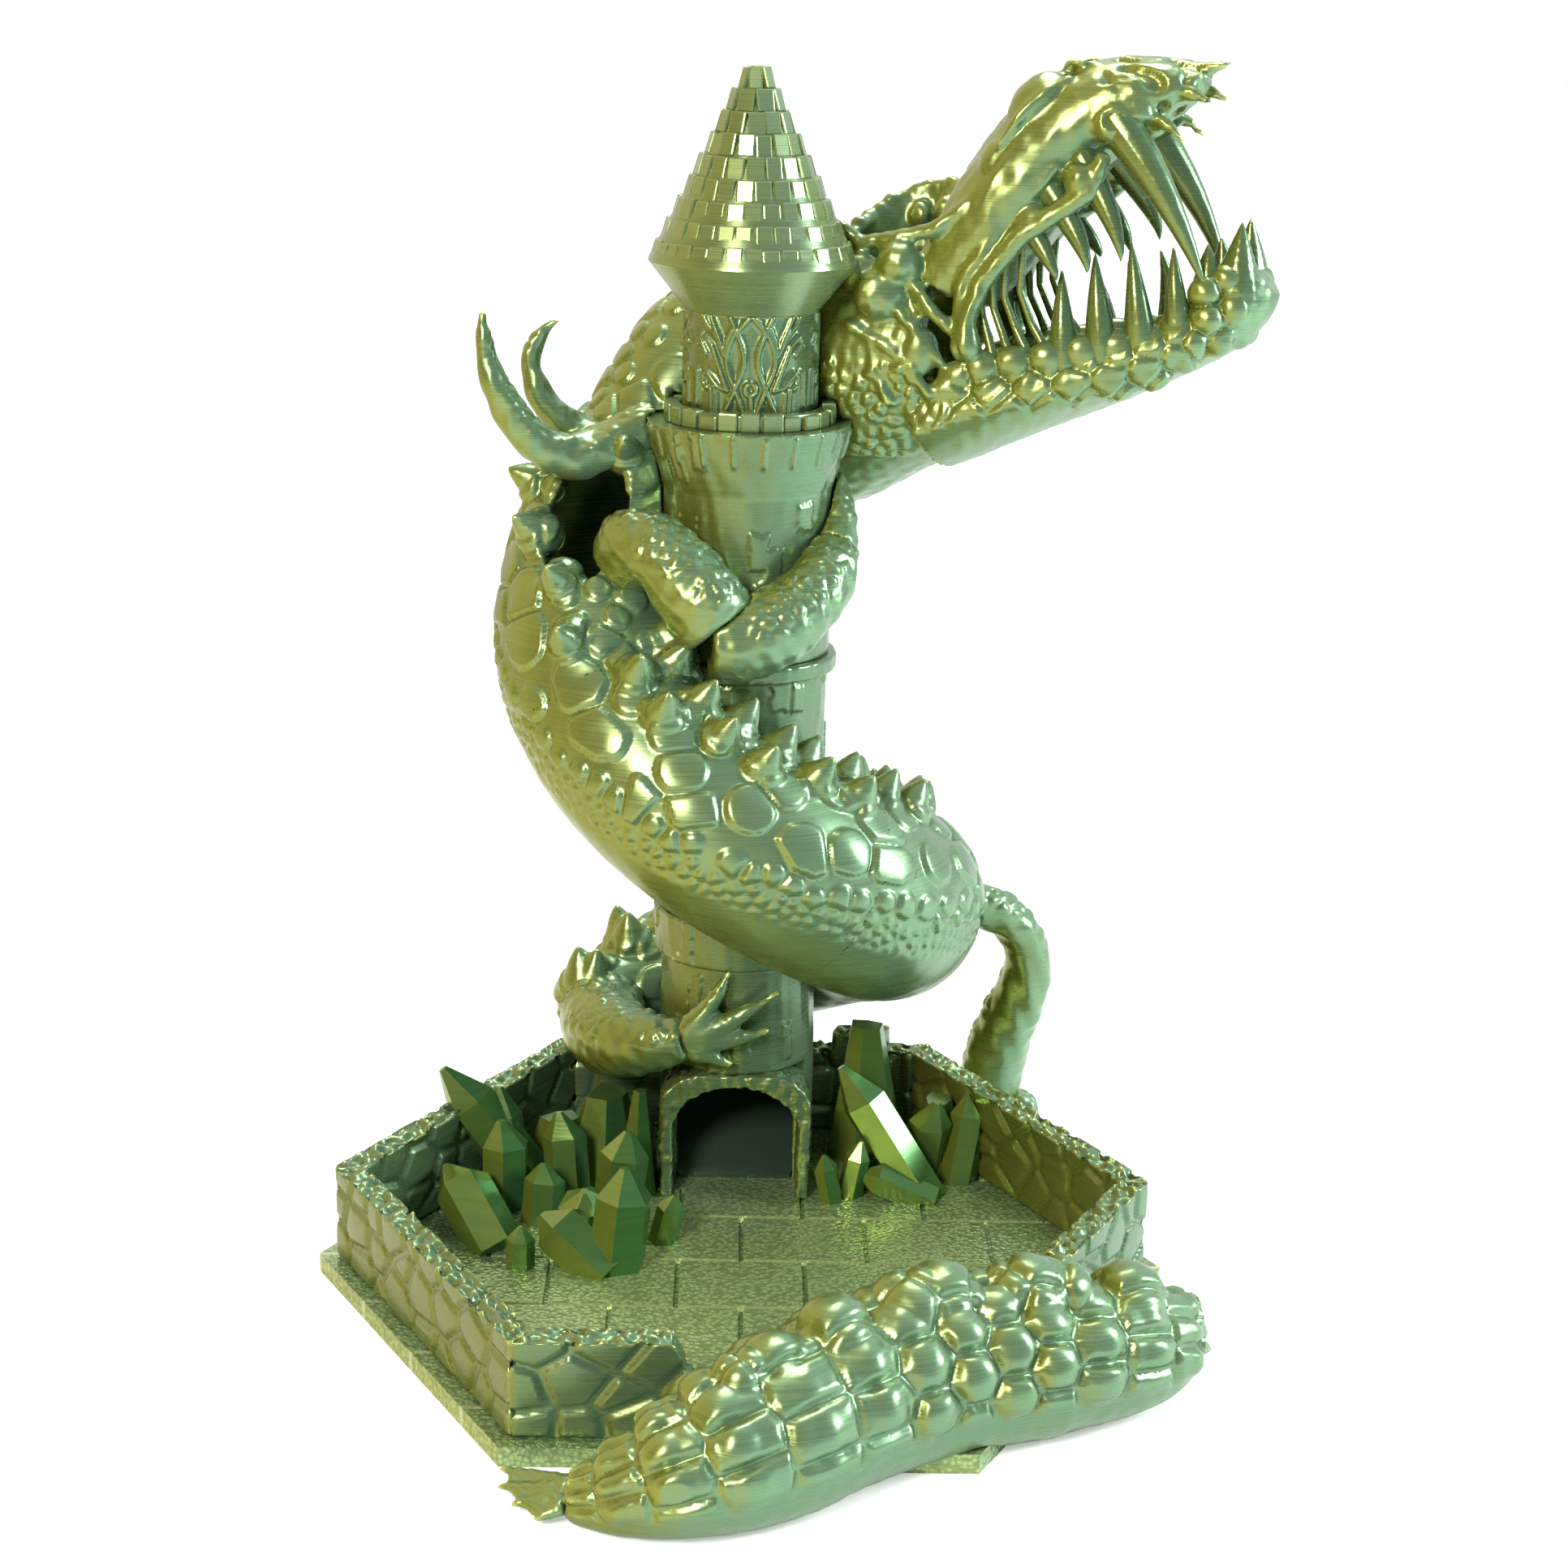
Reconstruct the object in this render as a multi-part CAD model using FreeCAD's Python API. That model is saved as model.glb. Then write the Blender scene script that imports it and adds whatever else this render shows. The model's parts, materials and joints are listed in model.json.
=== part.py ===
"""A free-standing dice tower: a dragon coiled round a castle tower in a hexagonal walled tray.

Dice go in at the mouth or at the funnel behind the eyes, roll down the hollow body round the tower,
drop through a window in the back of the tower base, and leave by the archway onto the tray floor.
The roof lifts off the tower, and the tower with its dragon lifts off the tray.

Millimetres. +Z is up, +X is to the right and +Y to the back, seen from the archway side.
The origin is the centre of the tray's underside.
"""

import math
import os

import FreeCAD
import Part

V = FreeCAD.Vector
UP = V(0, 0, 1)

# ---- driving sizes: tray -------------------------------------------------------------------------
SLAB_CORNER_RADIUS = 100.0
SLAB_THICKNESS = 4.5
WALL_LEDGE = 4.2            # how far the slab stands out past the wall corners
WALL_THICKNESS = 6.0
WALL_HEIGHT = 23.0
RUIN_HEIGHT = 16.0          # the broken corner piece is lower than the walls
RUIN_STEP = 2.0             # and its right arm is this much higher
BROKEN_END_SHARE = 0.3      # what is left of the front wall's height at its broken end
CRYSTAL_SHAFT_SHARE = 0.72  # share of a crystal's length below its point
CRYSTAL_TIP_SHARE = 0.18    # and its radius at the tip
CRYSTAL_ROOT = 3.0
FRONT_WALL_SHARE = 0.43     # share of the front side that the left stretch of wall covers
RUIN_START_SHARE = 0.84     # where the broken corner piece starts on the front side
RUIN_END_SHARE = 0.17       # and where it ends on the right front side
RIGHT_WALL_START_SHARE = 0.52
BROKEN_END_RUN = 8.0        # the front wall's right end slopes down over this length
BLOCK_START_SHARE = 0.10    # the ruined block on the back wall, right of the tower
BLOCK_END_SHARE = 0.24
BLOCK_HEIGHT = 5.0
FLAG_LENGTH = 30.0
FLAG_WIDTH = 23.5
GROOVE_WIDTH = 1.2
GROOVE_DEPTH = 0.8

# ---- driving sizes: tower ------------------------------------------------------------------------
TOWER_X = -2.0
TOWER_Y = 55.0
DRUM_RADIUS = 19.5
DRUM_WALL = 2.6
BASE_DRUM_HEIGHT = 60.0
COLLAR_RADIUS = 21.2
COLLAR_HEIGHT = 11.5
MIDDLE_DRUM_RADIUS = 20.0
MIDDLE_DRUM_HEIGHT = 61.0
BAND_RADIUS = 22.3
BAND_HEIGHT = 4.0
UPPER_DRUM_RADIUS = 20.4
UPPER_DRUM_HEIGHT = 40.0
FLARE_RADIUS = 24.5
FLARE_HEIGHT = 15.5
BATTLEMENT_RADIUS = 20.6
BATTLEMENT_HEIGHT = 5.0
BATTLEMENT_NOTCHES = 16
BATTLEMENT_NOTCH_WIDTH = 1.6
CARVED_DRUM_RADIUS = 15.8
CARVED_DRUM_HEIGHT = 26.0
ROOF_EAVES_RADIUS = 24.7
ROOF_UNDERSIDE_HEIGHT = 11.0
ROOF_CONE_HEIGHT = 44.0
ROOF_TIP_RADIUS = 2.6
SHINGLE_COURSES = 10
SHINGLE_STEP = 0.8
SPIGOT_RADIUS = 10.0
SPIGOT_LENGTH = 8.0
SLIDE_CLEARANCE = 0.3       # between pieces that lift apart
JOINT_GAP = 0.2             # between curved pieces that are glued together

# ---- driving sizes: archway and chute ------------------------------------------------------------
ARCH_WIDTH = 31.0
ARCH_HEIGHT = 29.5
ARCH_SPRING_SHARE = 0.62    # share of the height where the vertical jambs end
PORTAL_FRAME = 3.0
PORTAL_FRONT = 21.0         # the portal's front face, ahead of the tower's axis
PORTAL_BACK = 9.0           # and its back face
PORTAL_SHOULDER = 9.3       # rounding of the frame's upper corners
WINDOW_WIDTH = 28.0
WINDOW_HEIGHT = 28.0
WINDOW_LINTEL = 10.5        # what is left of the tower's foot above the window
WINDOW_REACH = 6.0          # how far behind the drum the window is cut
HIPS_WINDOW_HEIGHT = 18.0   # the window's height in the dragon's hips
RAMP_LIP = 1.0
RAMP_SHELF = 4.0

# ---- driving sizes: dragon -----------------------------------------------------------------------
SKIN = 3.0                  # wall of the hollow body
COIL_BITE = 8.0             # how far the body reaches into the tower's outline, where it is cut away
BODY_RADIUS = 24.5
SPIKE_HEIGHT = 7.5
SPIKE_RADIUS = 4.0
SPIKE_SINK = 3.0
PEEK_HOLE_LENGTH = 40.0     # the long opening between the shoulders
PEEK_HOLE_WIDTH = 19.0
PEEK_HOLE_SHARE = 0.42      # how far down the shoulders its middle is
FUNNEL_LENGTH = 35.0        # the oval funnel behind the eyes, over its outside
FUNNEL_WIDTH = 42.0
FUNNEL_WALL = 3.0
FUNNEL_MIDDLE = 39.0        # how far forward of the neck its middle is
FUNNEL_RISE = 161.5         # the funnel's bottom, above the dragon's level
FUNNEL_NEAR_HEIGHT = 11.0   # and its two lips above that
FUNNEL_FAR_HEIGHT = 29.0
FUNNEL_TAPER = 0.86         # its size at the bottom, as a share of the size at its lips
FUNNEL_REACH = 20.0         # how far below its bottom the throat's skin is opened
FUNNEL_TEETH = 18
FUNNEL_TOOTH_RADIUS = 1.3
FUNNEL_TOOTH_HEIGHT = 2.2
HEAD_BEHIND = 34.0          # where the head's line starts, behind the tower's axis
HEAD_TURN = -20.0           # the head points right and this far towards the front
PROP_HIP_RISE = 8.5         # where the prop leg leaves the body, above the dragon's level
PROP_ANKLE = 14.0
FIN_WEB = 1.6

# ---- driving sizes: tail -------------------------------------------------------------------------
PLATE_STEP = 11.0           # spacing of the tail's cobbled plates along it
PLATE_TURN = 34.0           # and round it, in degrees
PLATE_RADIUS = 4.8
PLATE_HEIGHT = 1.4
PLATE_SINK = 0.4
TAIL_GIRTH = 16.0           # where the tail is thinner than this radius, its plates are smaller

SLAB_TOP = SLAB_THICKNESS
WALL_CORNER_RADIUS = SLAB_CORNER_RADIUS - WALL_LEDGE
COIL_RADIUS = DRUM_RADIUS + BODY_RADIUS - COIL_BITE
COLLAR_BOTTOM = SLAB_TOP + BASE_DRUM_HEIGHT
MIDDLE_BOTTOM = COLLAR_BOTTOM + COLLAR_HEIGHT
BAND_BOTTOM = MIDDLE_BOTTOM + MIDDLE_DRUM_HEIGHT
UPPER_BOTTOM = BAND_BOTTOM + BAND_HEIGHT
FLARE_BOTTOM = UPPER_BOTTOM + UPPER_DRUM_HEIGHT
FLARE_TOP = FLARE_BOTTOM + FLARE_HEIGHT
ROOF_BOTTOM = FLARE_TOP + CARVED_DRUM_HEIGHT
EAVES = ROOF_BOTTOM + ROOF_UNDERSIDE_HEIGHT
ROOF_TOP = EAVES + ROOF_CONE_HEIGHT
WINDOW_TOP = COLLAR_BOTTOM - WINDOW_LINTEL
WINDOW_BOTTOM = WINDOW_TOP - WINDOW_HEIGHT
# The dragon sits on the tower's foot: its heights count from the top of that.
DRAGON_LEVEL = COLLAR_BOTTOM
FUNNEL_BOTTOM = DRAGON_LEVEL + FUNNEL_RISE
FUNNEL_NEAR_TOP = FUNNEL_BOTTOM + FUNNEL_NEAR_HEIGHT
FUNNEL_FAR_TOP = FUNNEL_BOTTOM + FUNNEL_FAR_HEIGHT
TOWER = V(TOWER_X, TOWER_Y, 0)


# ---- helpers -------------------------------------------------------------------------------------
def save(node, *shapes):
    """Writes the solids of one node to parts/NODE.step, and says how many there are."""
    solids = [solid for shape in shapes for solid in shape.Solids]
    bad = [solid for solid in solids if not solid.isValid() or solid.Volume <= 0]
    print(f"{node}: {len(solids)} solid(s), {sum(s.Volume for s in solids):.0f} mm3"
          + (f", {len(bad)} BAD" if bad else ""))
    whole = solids[0] if len(solids) == 1 else Part.makeCompound(solids)
    whole.exportStep(f"parts/{node}.step")
    return whole


def drum(radius, bottom, height, top_radius=None):
    """A cylinder or cone frustum on the tower's axis."""
    foot = TOWER + UP * bottom
    if top_radius is None:
        return Part.makeCylinder(radius, height, foot)
    return Part.makeCone(radius, top_radius, height, foot)


def prism(corners, bottom, height, margin=0.0):
    """A vertical prism on a list of (x, y) corners, grown sideways by margin."""
    points = [V(x, y, bottom) for x, y in corners]
    face = Part.Face(Part.makePolygon(points + points[:1]))
    if margin:
        face = face.makeOffset2D(margin, 2)
    return face.extrude(UP * height)


def hex_corner(radius, index):
    """Corner 0 of the tray points right, 1 and 2 are at the back, 4 and 5 at the front."""
    angle = math.radians(60 * index)
    return (radius * math.cos(angle), radius * math.sin(angle))


def between(a, b, share):
    return tuple(p + (q - p) * share for p, q in zip(a, b))


def ring(centre, tangent, width, height, up=UP):
    """A closed smooth wire round centre, square to tangent: half sizes across and along up."""
    along = V(tangent).normalize()
    across = along.cross(up).normalize()
    upward = across.cross(along)
    count = 12
    points = []
    for i in range(count):
        turn = 2 * math.pi * i / count
        points.append(centre + across * (width * math.cos(turn)) + upward * (height * math.sin(turn)))
    curve = Part.BSplineCurve()
    curve.interpolate(Points=points, PeriodicFlag=True)
    return Part.Wire([curve.toShape()])


def tangents(points):
    ends = [points[0] * 2 - points[1]] + points + [points[-1] * 2 - points[-2]]
    return [(ends[i + 2] - ends[i]).normalize() for i in range(len(points))]


def limb(stations, up=UP):
    """A solid through stations of (point, half width, half height)."""
    points = [V(*s[0]) for s in stations]
    wires = [ring(p, t, s[1], s[2], up) for p, t, s in zip(points, tangents(points), stations)]
    return Part.makeLoft(wires, True, False)


def round_limb(stations, up=UP):
    """A solid through stations of (point, radius)."""
    return limb([(p, r, r) for p, r in stations], up)


def dragon_limb(stations):
    """A limb whose heights count from the dragon's level."""
    return round_limb([(V(*p) + UP * DRAGON_LEVEL, r) for p, r in stations])


def spike(foot, direction, radius, height, sink=2.0):
    """A pointed cone that starts a little below foot."""
    outward = V(direction).normalize()
    return Part.makeCone(radius, 0.35, height + sink, foot - outward * sink, outward)


def largest(shape):
    """The biggest solid of a cut, without its crumbs."""
    return max(shape.Solids, key=lambda solid: solid.Volume)


# ---- tray ----------------------------------------------------------------------------------------
def hexagon(radius):
    return [hex_corner(radius, i) for i in range(6)]


def make_base_plate():
    """The slab, with the grooves of its flagstones in running bond."""
    slab = prism(hexagon(SLAB_CORNER_RADIUS), 0, SLAB_THICKNESS)
    floor_radius = WALL_CORNER_RADIUS - WALL_THICKNESS / math.cos(math.radians(30))
    bottom = SLAB_TOP - GROOVE_DEPTH
    depth = 2 * GROOVE_DEPTH
    floor = prism(hexagon(floor_radius), bottom, depth)
    rows = int(floor_radius // FLAG_WIDTH) + 1
    columns = int(floor_radius // FLAG_LENGTH) + 2
    half = GROOVE_WIDTH / 2
    grooves = []
    for row in range(-rows, rows + 1):
        y = row * FLAG_WIDTH
        corner = V(-floor_radius, y - half, bottom)
        grooves.append(Part.makeBox(2 * floor_radius, GROOVE_WIDTH, depth, corner))
        shift = FLAG_LENGTH / 2 if row % 2 else 0
        for column in range(-columns, columns + 1):
            x = column * FLAG_LENGTH + shift
            grooves.append(Part.makeBox(GROOVE_WIDTH, FLAG_WIDTH, depth, V(x - half, y, bottom)))
    pattern = grooves[0].multiFuse(grooves[1:]).common(floor)
    under_tower = drum(DRUM_RADIUS + GROOVE_WIDTH, 0, 2 * SLAB_TOP)
    return largest(slab.cut(pattern.cut(under_tower)))


def wall_outline(side, start, end):
    """Corners of the stretch of wall on one side of the tray, from share start to share end of it."""
    inner_radius = WALL_CORNER_RADIUS - WALL_THICKNESS / math.cos(math.radians(30))
    outer = hex_corner(WALL_CORNER_RADIUS, side), hex_corner(WALL_CORNER_RADIUS, side + 1)
    inner = hex_corner(inner_radius, side), hex_corner(inner_radius, side + 1)
    return [between(*outer, start), between(*outer, end), between(*inner, end), between(*inner, start)]


def make_wall(side, start=0.0, end=1.0, height=WALL_HEIGHT):
    """A stretch of rampart."""
    return prism(wall_outline(side, start, end), SLAB_TOP, height)


def make_front_wall():
    """The left stretch of the front side, whose right end is broken down in a slope."""
    wall = make_wall(4, 0.0, FRONT_WALL_SHARE)
    box = wall.BoundBox
    top = SLAB_TOP + WALL_HEIGHT
    profile = [V(box.XMax - BROKEN_END_RUN, box.YMin, top), V(box.XMax, box.YMin, top),
               V(box.XMax, box.YMin, SLAB_TOP + WALL_HEIGHT * BROKEN_END_SHARE)]
    return wall.cut(Part.Face(Part.makePolygon(profile + profile[:1])).extrude(V(0, box.YLength, 0)))


def make_back_wall():
    """The back side, with a ruined block on it right of the tower."""
    outline = wall_outline(1, BLOCK_START_SHARE, BLOCK_END_SHARE)
    block = prism(outline, SLAB_TOP, WALL_HEIGHT + BLOCK_HEIGHT)
    return make_wall(1).fuse(block).removeSplitter()


def make_ruin():
    """The broken corner piece that stands in front of the tail, one L-shaped solid."""
    first, second = (make_wall(*stretch) for stretch in WALLS_BY_TAIL[:2])
    return first.fuse(second).removeSplitter()


# Stretches of wall that the tail lies against: side, start, end, height.
WALLS_BY_TAIL = [(4, RUIN_START_SHARE, 1.0, RUIN_HEIGHT), (5, 0.0, RUIN_END_SHARE, RUIN_HEIGHT + RUIN_STEP),
                 (4, 0.0, FRONT_WALL_SHARE, WALL_HEIGHT), (5, RIGHT_WALL_START_SHARE, 1.0, WALL_HEIGHT)]


# ---- crystals and rocks --------------------------------------------------------------------------
def crystal(x, y, radius, length, lean, towards):
    """A six-sided crystal that leans off the vertical by lean degrees, towards an azimuth."""
    shaft = length * CRYSTAL_SHAFT_SHARE
    body = prism(hexagon(radius), -CRYSTAL_ROOT, shaft + CRYSTAL_ROOT)
    tip_radius = radius * CRYSTAL_TIP_SHARE
    wires = []
    for size, height, off in ((radius, shaft, 0), (tip_radius, length, tip_radius)):
        corners = [V(cx, cy + off, height) for cx, cy in hexagon(size)]
        wires.append(Part.Wire(Part.makePolygon(corners + corners[:1])))
    point = Part.makeLoft(wires, True, True)
    whole = body.fuse(point)
    whole.rotate(V(0, 0, 0), V(0, 1, 0), lean)
    whole.rotate(V(0, 0, 0), UP, towards)
    whole.translate(V(x, y, SLAB_TOP))
    return whole


def boulder(x, y, radius, top_share, height, sides, turn):
    """A faceted rock: an irregular polygon that narrows upwards."""
    def outline(scale, z, twist):
        points = []
        for i in range(sides):
            angle = math.radians(360 * i / sides + turn + twist)
            reach = radius * scale * (1 + 0.22 * math.sin(2.4 * i + turn))
            points.append(V(x + reach * math.cos(angle), y + reach * math.sin(angle), z))
        return Part.Wire(Part.makePolygon(points + points[:1]))

    return Part.makeLoft([outline(1, SLAB_TOP, 0), outline(top_share, SLAB_TOP + height, 0)], True, True)


def above_floor(shape):
    """What stands above the tray floor."""
    reach = 2 * SLAB_CORNER_RADIUS
    below = Part.makeBox(2 * reach, 2 * reach, reach, V(-reach, -reach, SLAB_TOP - reach))
    return shape.cut(below)


def cluster(*pieces):
    return above_floor(pieces[0].multiFuse(list(pieces[1:])))


# ---- tower ---------------------------------------------------------------------------------------
def archway_cutter(width, height, front, back):
    """The arch's opening, from front to back of the tower's axis: jambs under a half ellipse."""
    spring = height * ARCH_SPRING_SHARE
    half = width / 2
    crown = height - spring
    base = V(TOWER_X, TOWER_Y - front, SLAB_TOP)
    jambs = Part.makeBox(width, front + back, spring, base - V(half, 0, 0))
    arc = Part.makeCylinder(half, front + back, base + UP * spring, V(0, 1, 0))
    squash = FreeCAD.Matrix()
    squash.move(-(base + UP * spring))
    squash.scale(V(1, 1, crown / half))
    squash.move(base + UP * spring)
    return jambs.fuse(arc.transformGeometry(squash))


def dice_window(bottom):
    """The window's way through the drum's back and the dragon's hips."""
    return Part.makeBox(WINDOW_WIDTH, DRUM_RADIUS + WINDOW_REACH, WINDOW_TOP - bottom,
                        V(TOWER_X - WINDOW_WIDTH / 2, TOWER_Y, bottom))


def make_tower_base():
    """The hollow foot of the tower, open at the arch in front and at the dice window behind."""
    shell = drum(DRUM_RADIUS, SLAB_TOP, BASE_DRUM_HEIGHT).cut(
        drum(DRUM_RADIUS - DRUM_WALL, SLAB_TOP, BASE_DRUM_HEIGHT - DRUM_WALL))
    front = Part.makeBox(4 * DRUM_RADIUS, 2 * DRUM_RADIUS, ARCH_HEIGHT + PORTAL_FRAME,
                         V(TOWER_X - 2 * DRUM_RADIUS, TOWER_Y - PORTAL_BACK - 2 * DRUM_RADIUS, SLAB_TOP))
    return largest(shell.cut(front).cut(dice_window(WINDOW_BOTTOM)))


def make_portal():
    """The archway: a flat-fronted frame with the arch through it."""
    half = ARCH_WIDTH / 2 + PORTAL_FRAME
    block = Part.makeBox(2 * half, PORTAL_FRONT - PORTAL_BACK, ARCH_HEIGHT + PORTAL_FRAME,
                         V(TOWER_X - half, TOWER_Y - PORTAL_FRONT, SLAB_TOP))
    edges = [e for e in block.Edges if abs(e.BoundBox.YLength - (PORTAL_FRONT - PORTAL_BACK)) < 0.01
             and e.BoundBox.ZMax > SLAB_TOP + ARCH_HEIGHT]
    block = block.makeFillet(PORTAL_SHOULDER, edges)
    return block.cut(archway_cutter(ARCH_WIDTH, ARCH_HEIGHT, PORTAL_FRONT, 0))


def archway_room():
    """The portal's block and the space above the floor in front of it, with a small gap round them."""
    half = ARCH_WIDTH / 2 + PORTAL_FRAME + SLIDE_CLEARANCE
    depth = PORTAL_FRONT - PORTAL_BACK + 2 * SLIDE_CLEARANCE
    return Part.makeBox(2 * half, depth, ARCH_HEIGHT + PORTAL_FRAME + SLIDE_CLEARANCE,
                        V(TOWER_X - half, TOWER_Y - PORTAL_FRONT - SLIDE_CLEARANCE, SLAB_TOP))


def make_ramp():
    """The sloping floor inside the tower's foot, from the dice window down to the arch."""
    radius = DRUM_RADIUS - DRUM_WALL - JOINT_GAP
    plug = drum(radius, SLAB_TOP, WINDOW_BOTTOM - SLAB_TOP)
    front = TOWER_Y - PORTAL_BACK
    back = TOWER_Y + radius
    profile = [V(0, front, SLAB_TOP), V(0, back, SLAB_TOP), V(0, back, WINDOW_BOTTOM),
               V(0, back - RAMP_SHELF, WINDOW_BOTTOM), V(0, front, SLAB_TOP + RAMP_LIP)]
    wedge = Part.Face(Part.makePolygon(profile + profile[:1])).extrude(V(2 * radius, 0, 0))
    wedge.translate(V(TOWER_X - radius, 0, 0))
    return largest(plug.common(wedge))


def make_upper_drum():
    """The top of the tower, with its flared parapet and the socket for the roof's spigot."""
    body = drum(UPPER_DRUM_RADIUS, UPPER_BOTTOM, UPPER_DRUM_HEIGHT)
    flare = drum(UPPER_DRUM_RADIUS, FLARE_BOTTOM, FLARE_HEIGHT, FLARE_RADIUS)
    socket = drum(SPIGOT_RADIUS + SLIDE_CLEARANCE, FLARE_TOP - SPIGOT_LENGTH - 1, SPIGOT_LENGTH + 2)
    return body.fuse(flare).removeSplitter().cut(socket)


def make_battlement():
    """The notched ring on the parapet."""
    inner = CARVED_DRUM_RADIUS + 2 * SLIDE_CLEARANCE
    outer_drum = drum(BATTLEMENT_RADIUS, FLARE_TOP, BATTLEMENT_HEIGHT)
    ring_body = outer_drum.cut(drum(inner, FLARE_TOP, BATTLEMENT_HEIGHT))
    notches = []
    for i in range(BATTLEMENT_NOTCHES):
        notch = Part.makeBox(2, BATTLEMENT_NOTCH_WIDTH, BATTLEMENT_HEIGHT)
        notch.translate(V(BATTLEMENT_RADIUS - 1, -BATTLEMENT_NOTCH_WIDTH / 2, FLARE_TOP))
        notch.rotate(V(0, 0, 0), UP, 360 * i / BATTLEMENT_NOTCHES)
        notch.translate(TOWER)
        notches.append(notch)
    return ring_body.cut(notches[0].multiFuse(notches[1:]))


def make_carved_drum():
    """The lantern drum under the roof, with the spigot that plugs into the tower."""
    body = drum(CARVED_DRUM_RADIUS, FLARE_TOP, CARVED_DRUM_HEIGHT)
    spigot = drum(SPIGOT_RADIUS, FLARE_TOP - SPIGOT_LENGTH, SPIGOT_LENGTH)
    return body.fuse(spigot).removeSplitter()


def make_roof():
    """The conical roof: a sloping underside and stepped courses of shingles."""
    points = [V(0, 0, ROOF_BOTTOM), V(CARVED_DRUM_RADIUS, 0, ROOF_BOTTOM), V(ROOF_EAVES_RADIUS, 0, EAVES)]
    rise = ROOF_CONE_HEIGHT / SHINGLE_COURSES
    taper = (ROOF_EAVES_RADIUS - ROOF_TIP_RADIUS) / SHINGLE_COURSES
    for course in range(SHINGLE_COURSES):
        top = EAVES + rise * (course + 1)
        radius = ROOF_EAVES_RADIUS - taper * (course + 1)
        points.append(V(radius + SHINGLE_STEP / 2, 0, top))
        if course < SHINGLE_COURSES - 1:
            points.append(V(radius - SHINGLE_STEP / 2, 0, top))
    points.append(V(0, 0, ROOF_TOP))
    profile = Part.Face(Part.makePolygon(points + points[:1]))
    roof = profile.revolve(V(0, 0, 0), UP, 360)
    roof.translate(TOWER)
    return roof


# ---- dragon body ---------------------------------------------------------------------------------
# Stations of the coil: angle round the tower from the front, counted to the right, then how far the
# centre line stands off COIL_RADIUS, its height above the dragon's level, and the body's share of
# BODY_RADIUS.
COIL = {
    "neck_back": [
        (-200, 0, 142.5, 0.94), (-180, -1, 144, 0.89), (-162, -3, 139.5, 0.82),
        (-146, -4, 130.5, 0.78), (-130, -3, 118.5, 0.82),
    ],
    "shoulders": [
        (-130, -3, 118.5, 0.82), (-110, -1, 101.5, 0.92), (-90, 0, 85, 0.97), (-60, 0, 64.5, 0.94),
    ],
    "torso_front": [
        (-60, 0, 64.5, 0.94), (-30, 0, 50.5, 0.91), (0, 0, 38.5, 0.93), (30, 0, 28, 0.97),
    ],
    "torso_side": [
        (30, 0, 28, 0.97), (60, 0, 19, 1), (90, 0, 11.5, 1), (120, 0, 3.5, 0.98),
    ],
    "hips": [
        (120, 0, 3.5, 0.98), (150, 0, -5.5, 0.94), (180, 0, -13, 0.87), (205, 1, -19, 0.67),
        (228, 3, -22.5, 0.53), (246, 5, -24, 0.45), (256, 5, -24.5, 0.2),
    ],
}
COIL_STATIONS = sorted({station for part in COIL.values() for station in part})
BORE_END = 3                # the hips are solid beyond this station, so dice leave by the window
# Spikes of each stretch: how many in a row, and the angles of its two rows off the back's ridge.
SPIKES = {
    "neck_back": (0, 0, 0),
    "shoulders": (5, -30, 30),
    "torso_front": (6, -20, 8),
    "torso_side": (6, -14, 8),
    "hips": (4, -10, 8),
}


def coil_point(angle, off, height):
    turn = math.radians(angle)
    reach = COIL_RADIUS + off
    return TOWER + V(reach * math.sin(turn), -reach * math.cos(turn), DRAGON_LEVEL + height)


def coil_tangent(angle):
    """Direction of the coil's centre line at an angle, from the neck towards the hips."""
    before = max([s for s in COIL_STATIONS if s[0] < angle - 0.01] or COIL_STATIONS[:1])
    after = min([s for s in COIL_STATIONS if s[0] > angle + 0.01] or COIL_STATIONS[-1:])
    return (coil_point(*after[:3]) - coil_point(*before[:3])).normalize()


def coil_ring(station, grow=0.0, shift=0.0):
    angle, off, height, share = station
    along = coil_tangent(angle)
    radius = BODY_RADIUS * share + grow
    return ring(coil_point(angle, off, height) + along * shift, along, radius, radius)


def coil_tube(stations, grow=0.0, overrun=0.0):
    """The body through its stations, or the bore inside it when grow is minus the skin's thickness."""
    shifts = [-overrun] + [0.0] * (len(stations) - 2) + [overrun]
    return Part.makeLoft([coil_ring(s, grow, shift) for s, shift in zip(stations, shifts)], True, False)


def ridge_frame(stations, share):
    """Centre, radius, tangent and upward normal of the body at a share of one stretch."""
    place = share * (len(stations) - 1)
    index = min(int(place), len(stations) - 2)
    angle, off, height, size = between(stations[index], stations[index + 1], place - index)
    along = coil_tangent(angle)
    normal = (UP - along * along.dot(UP)).normalize()
    return coil_point(angle, off, height), BODY_RADIUS * size, along, normal


def spike_rows(stations, count, inner_angle, outer_angle):
    """Two rows of spikes along the back of one stretch of the body."""
    spikes = []
    for i in range(count):
        centre, radius, along, normal = ridge_frame(stations, (i + 0.5) / count)
        for angle in (inner_angle, outer_angle):
            direction = FreeCAD.Rotation(along, -angle).multVec(normal)
            foot = centre + direction * radius
            spikes.append(spike(foot, direction, SPIKE_RADIUS, SPIKE_HEIGHT, SPIKE_SINK))
    return spikes


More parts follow.
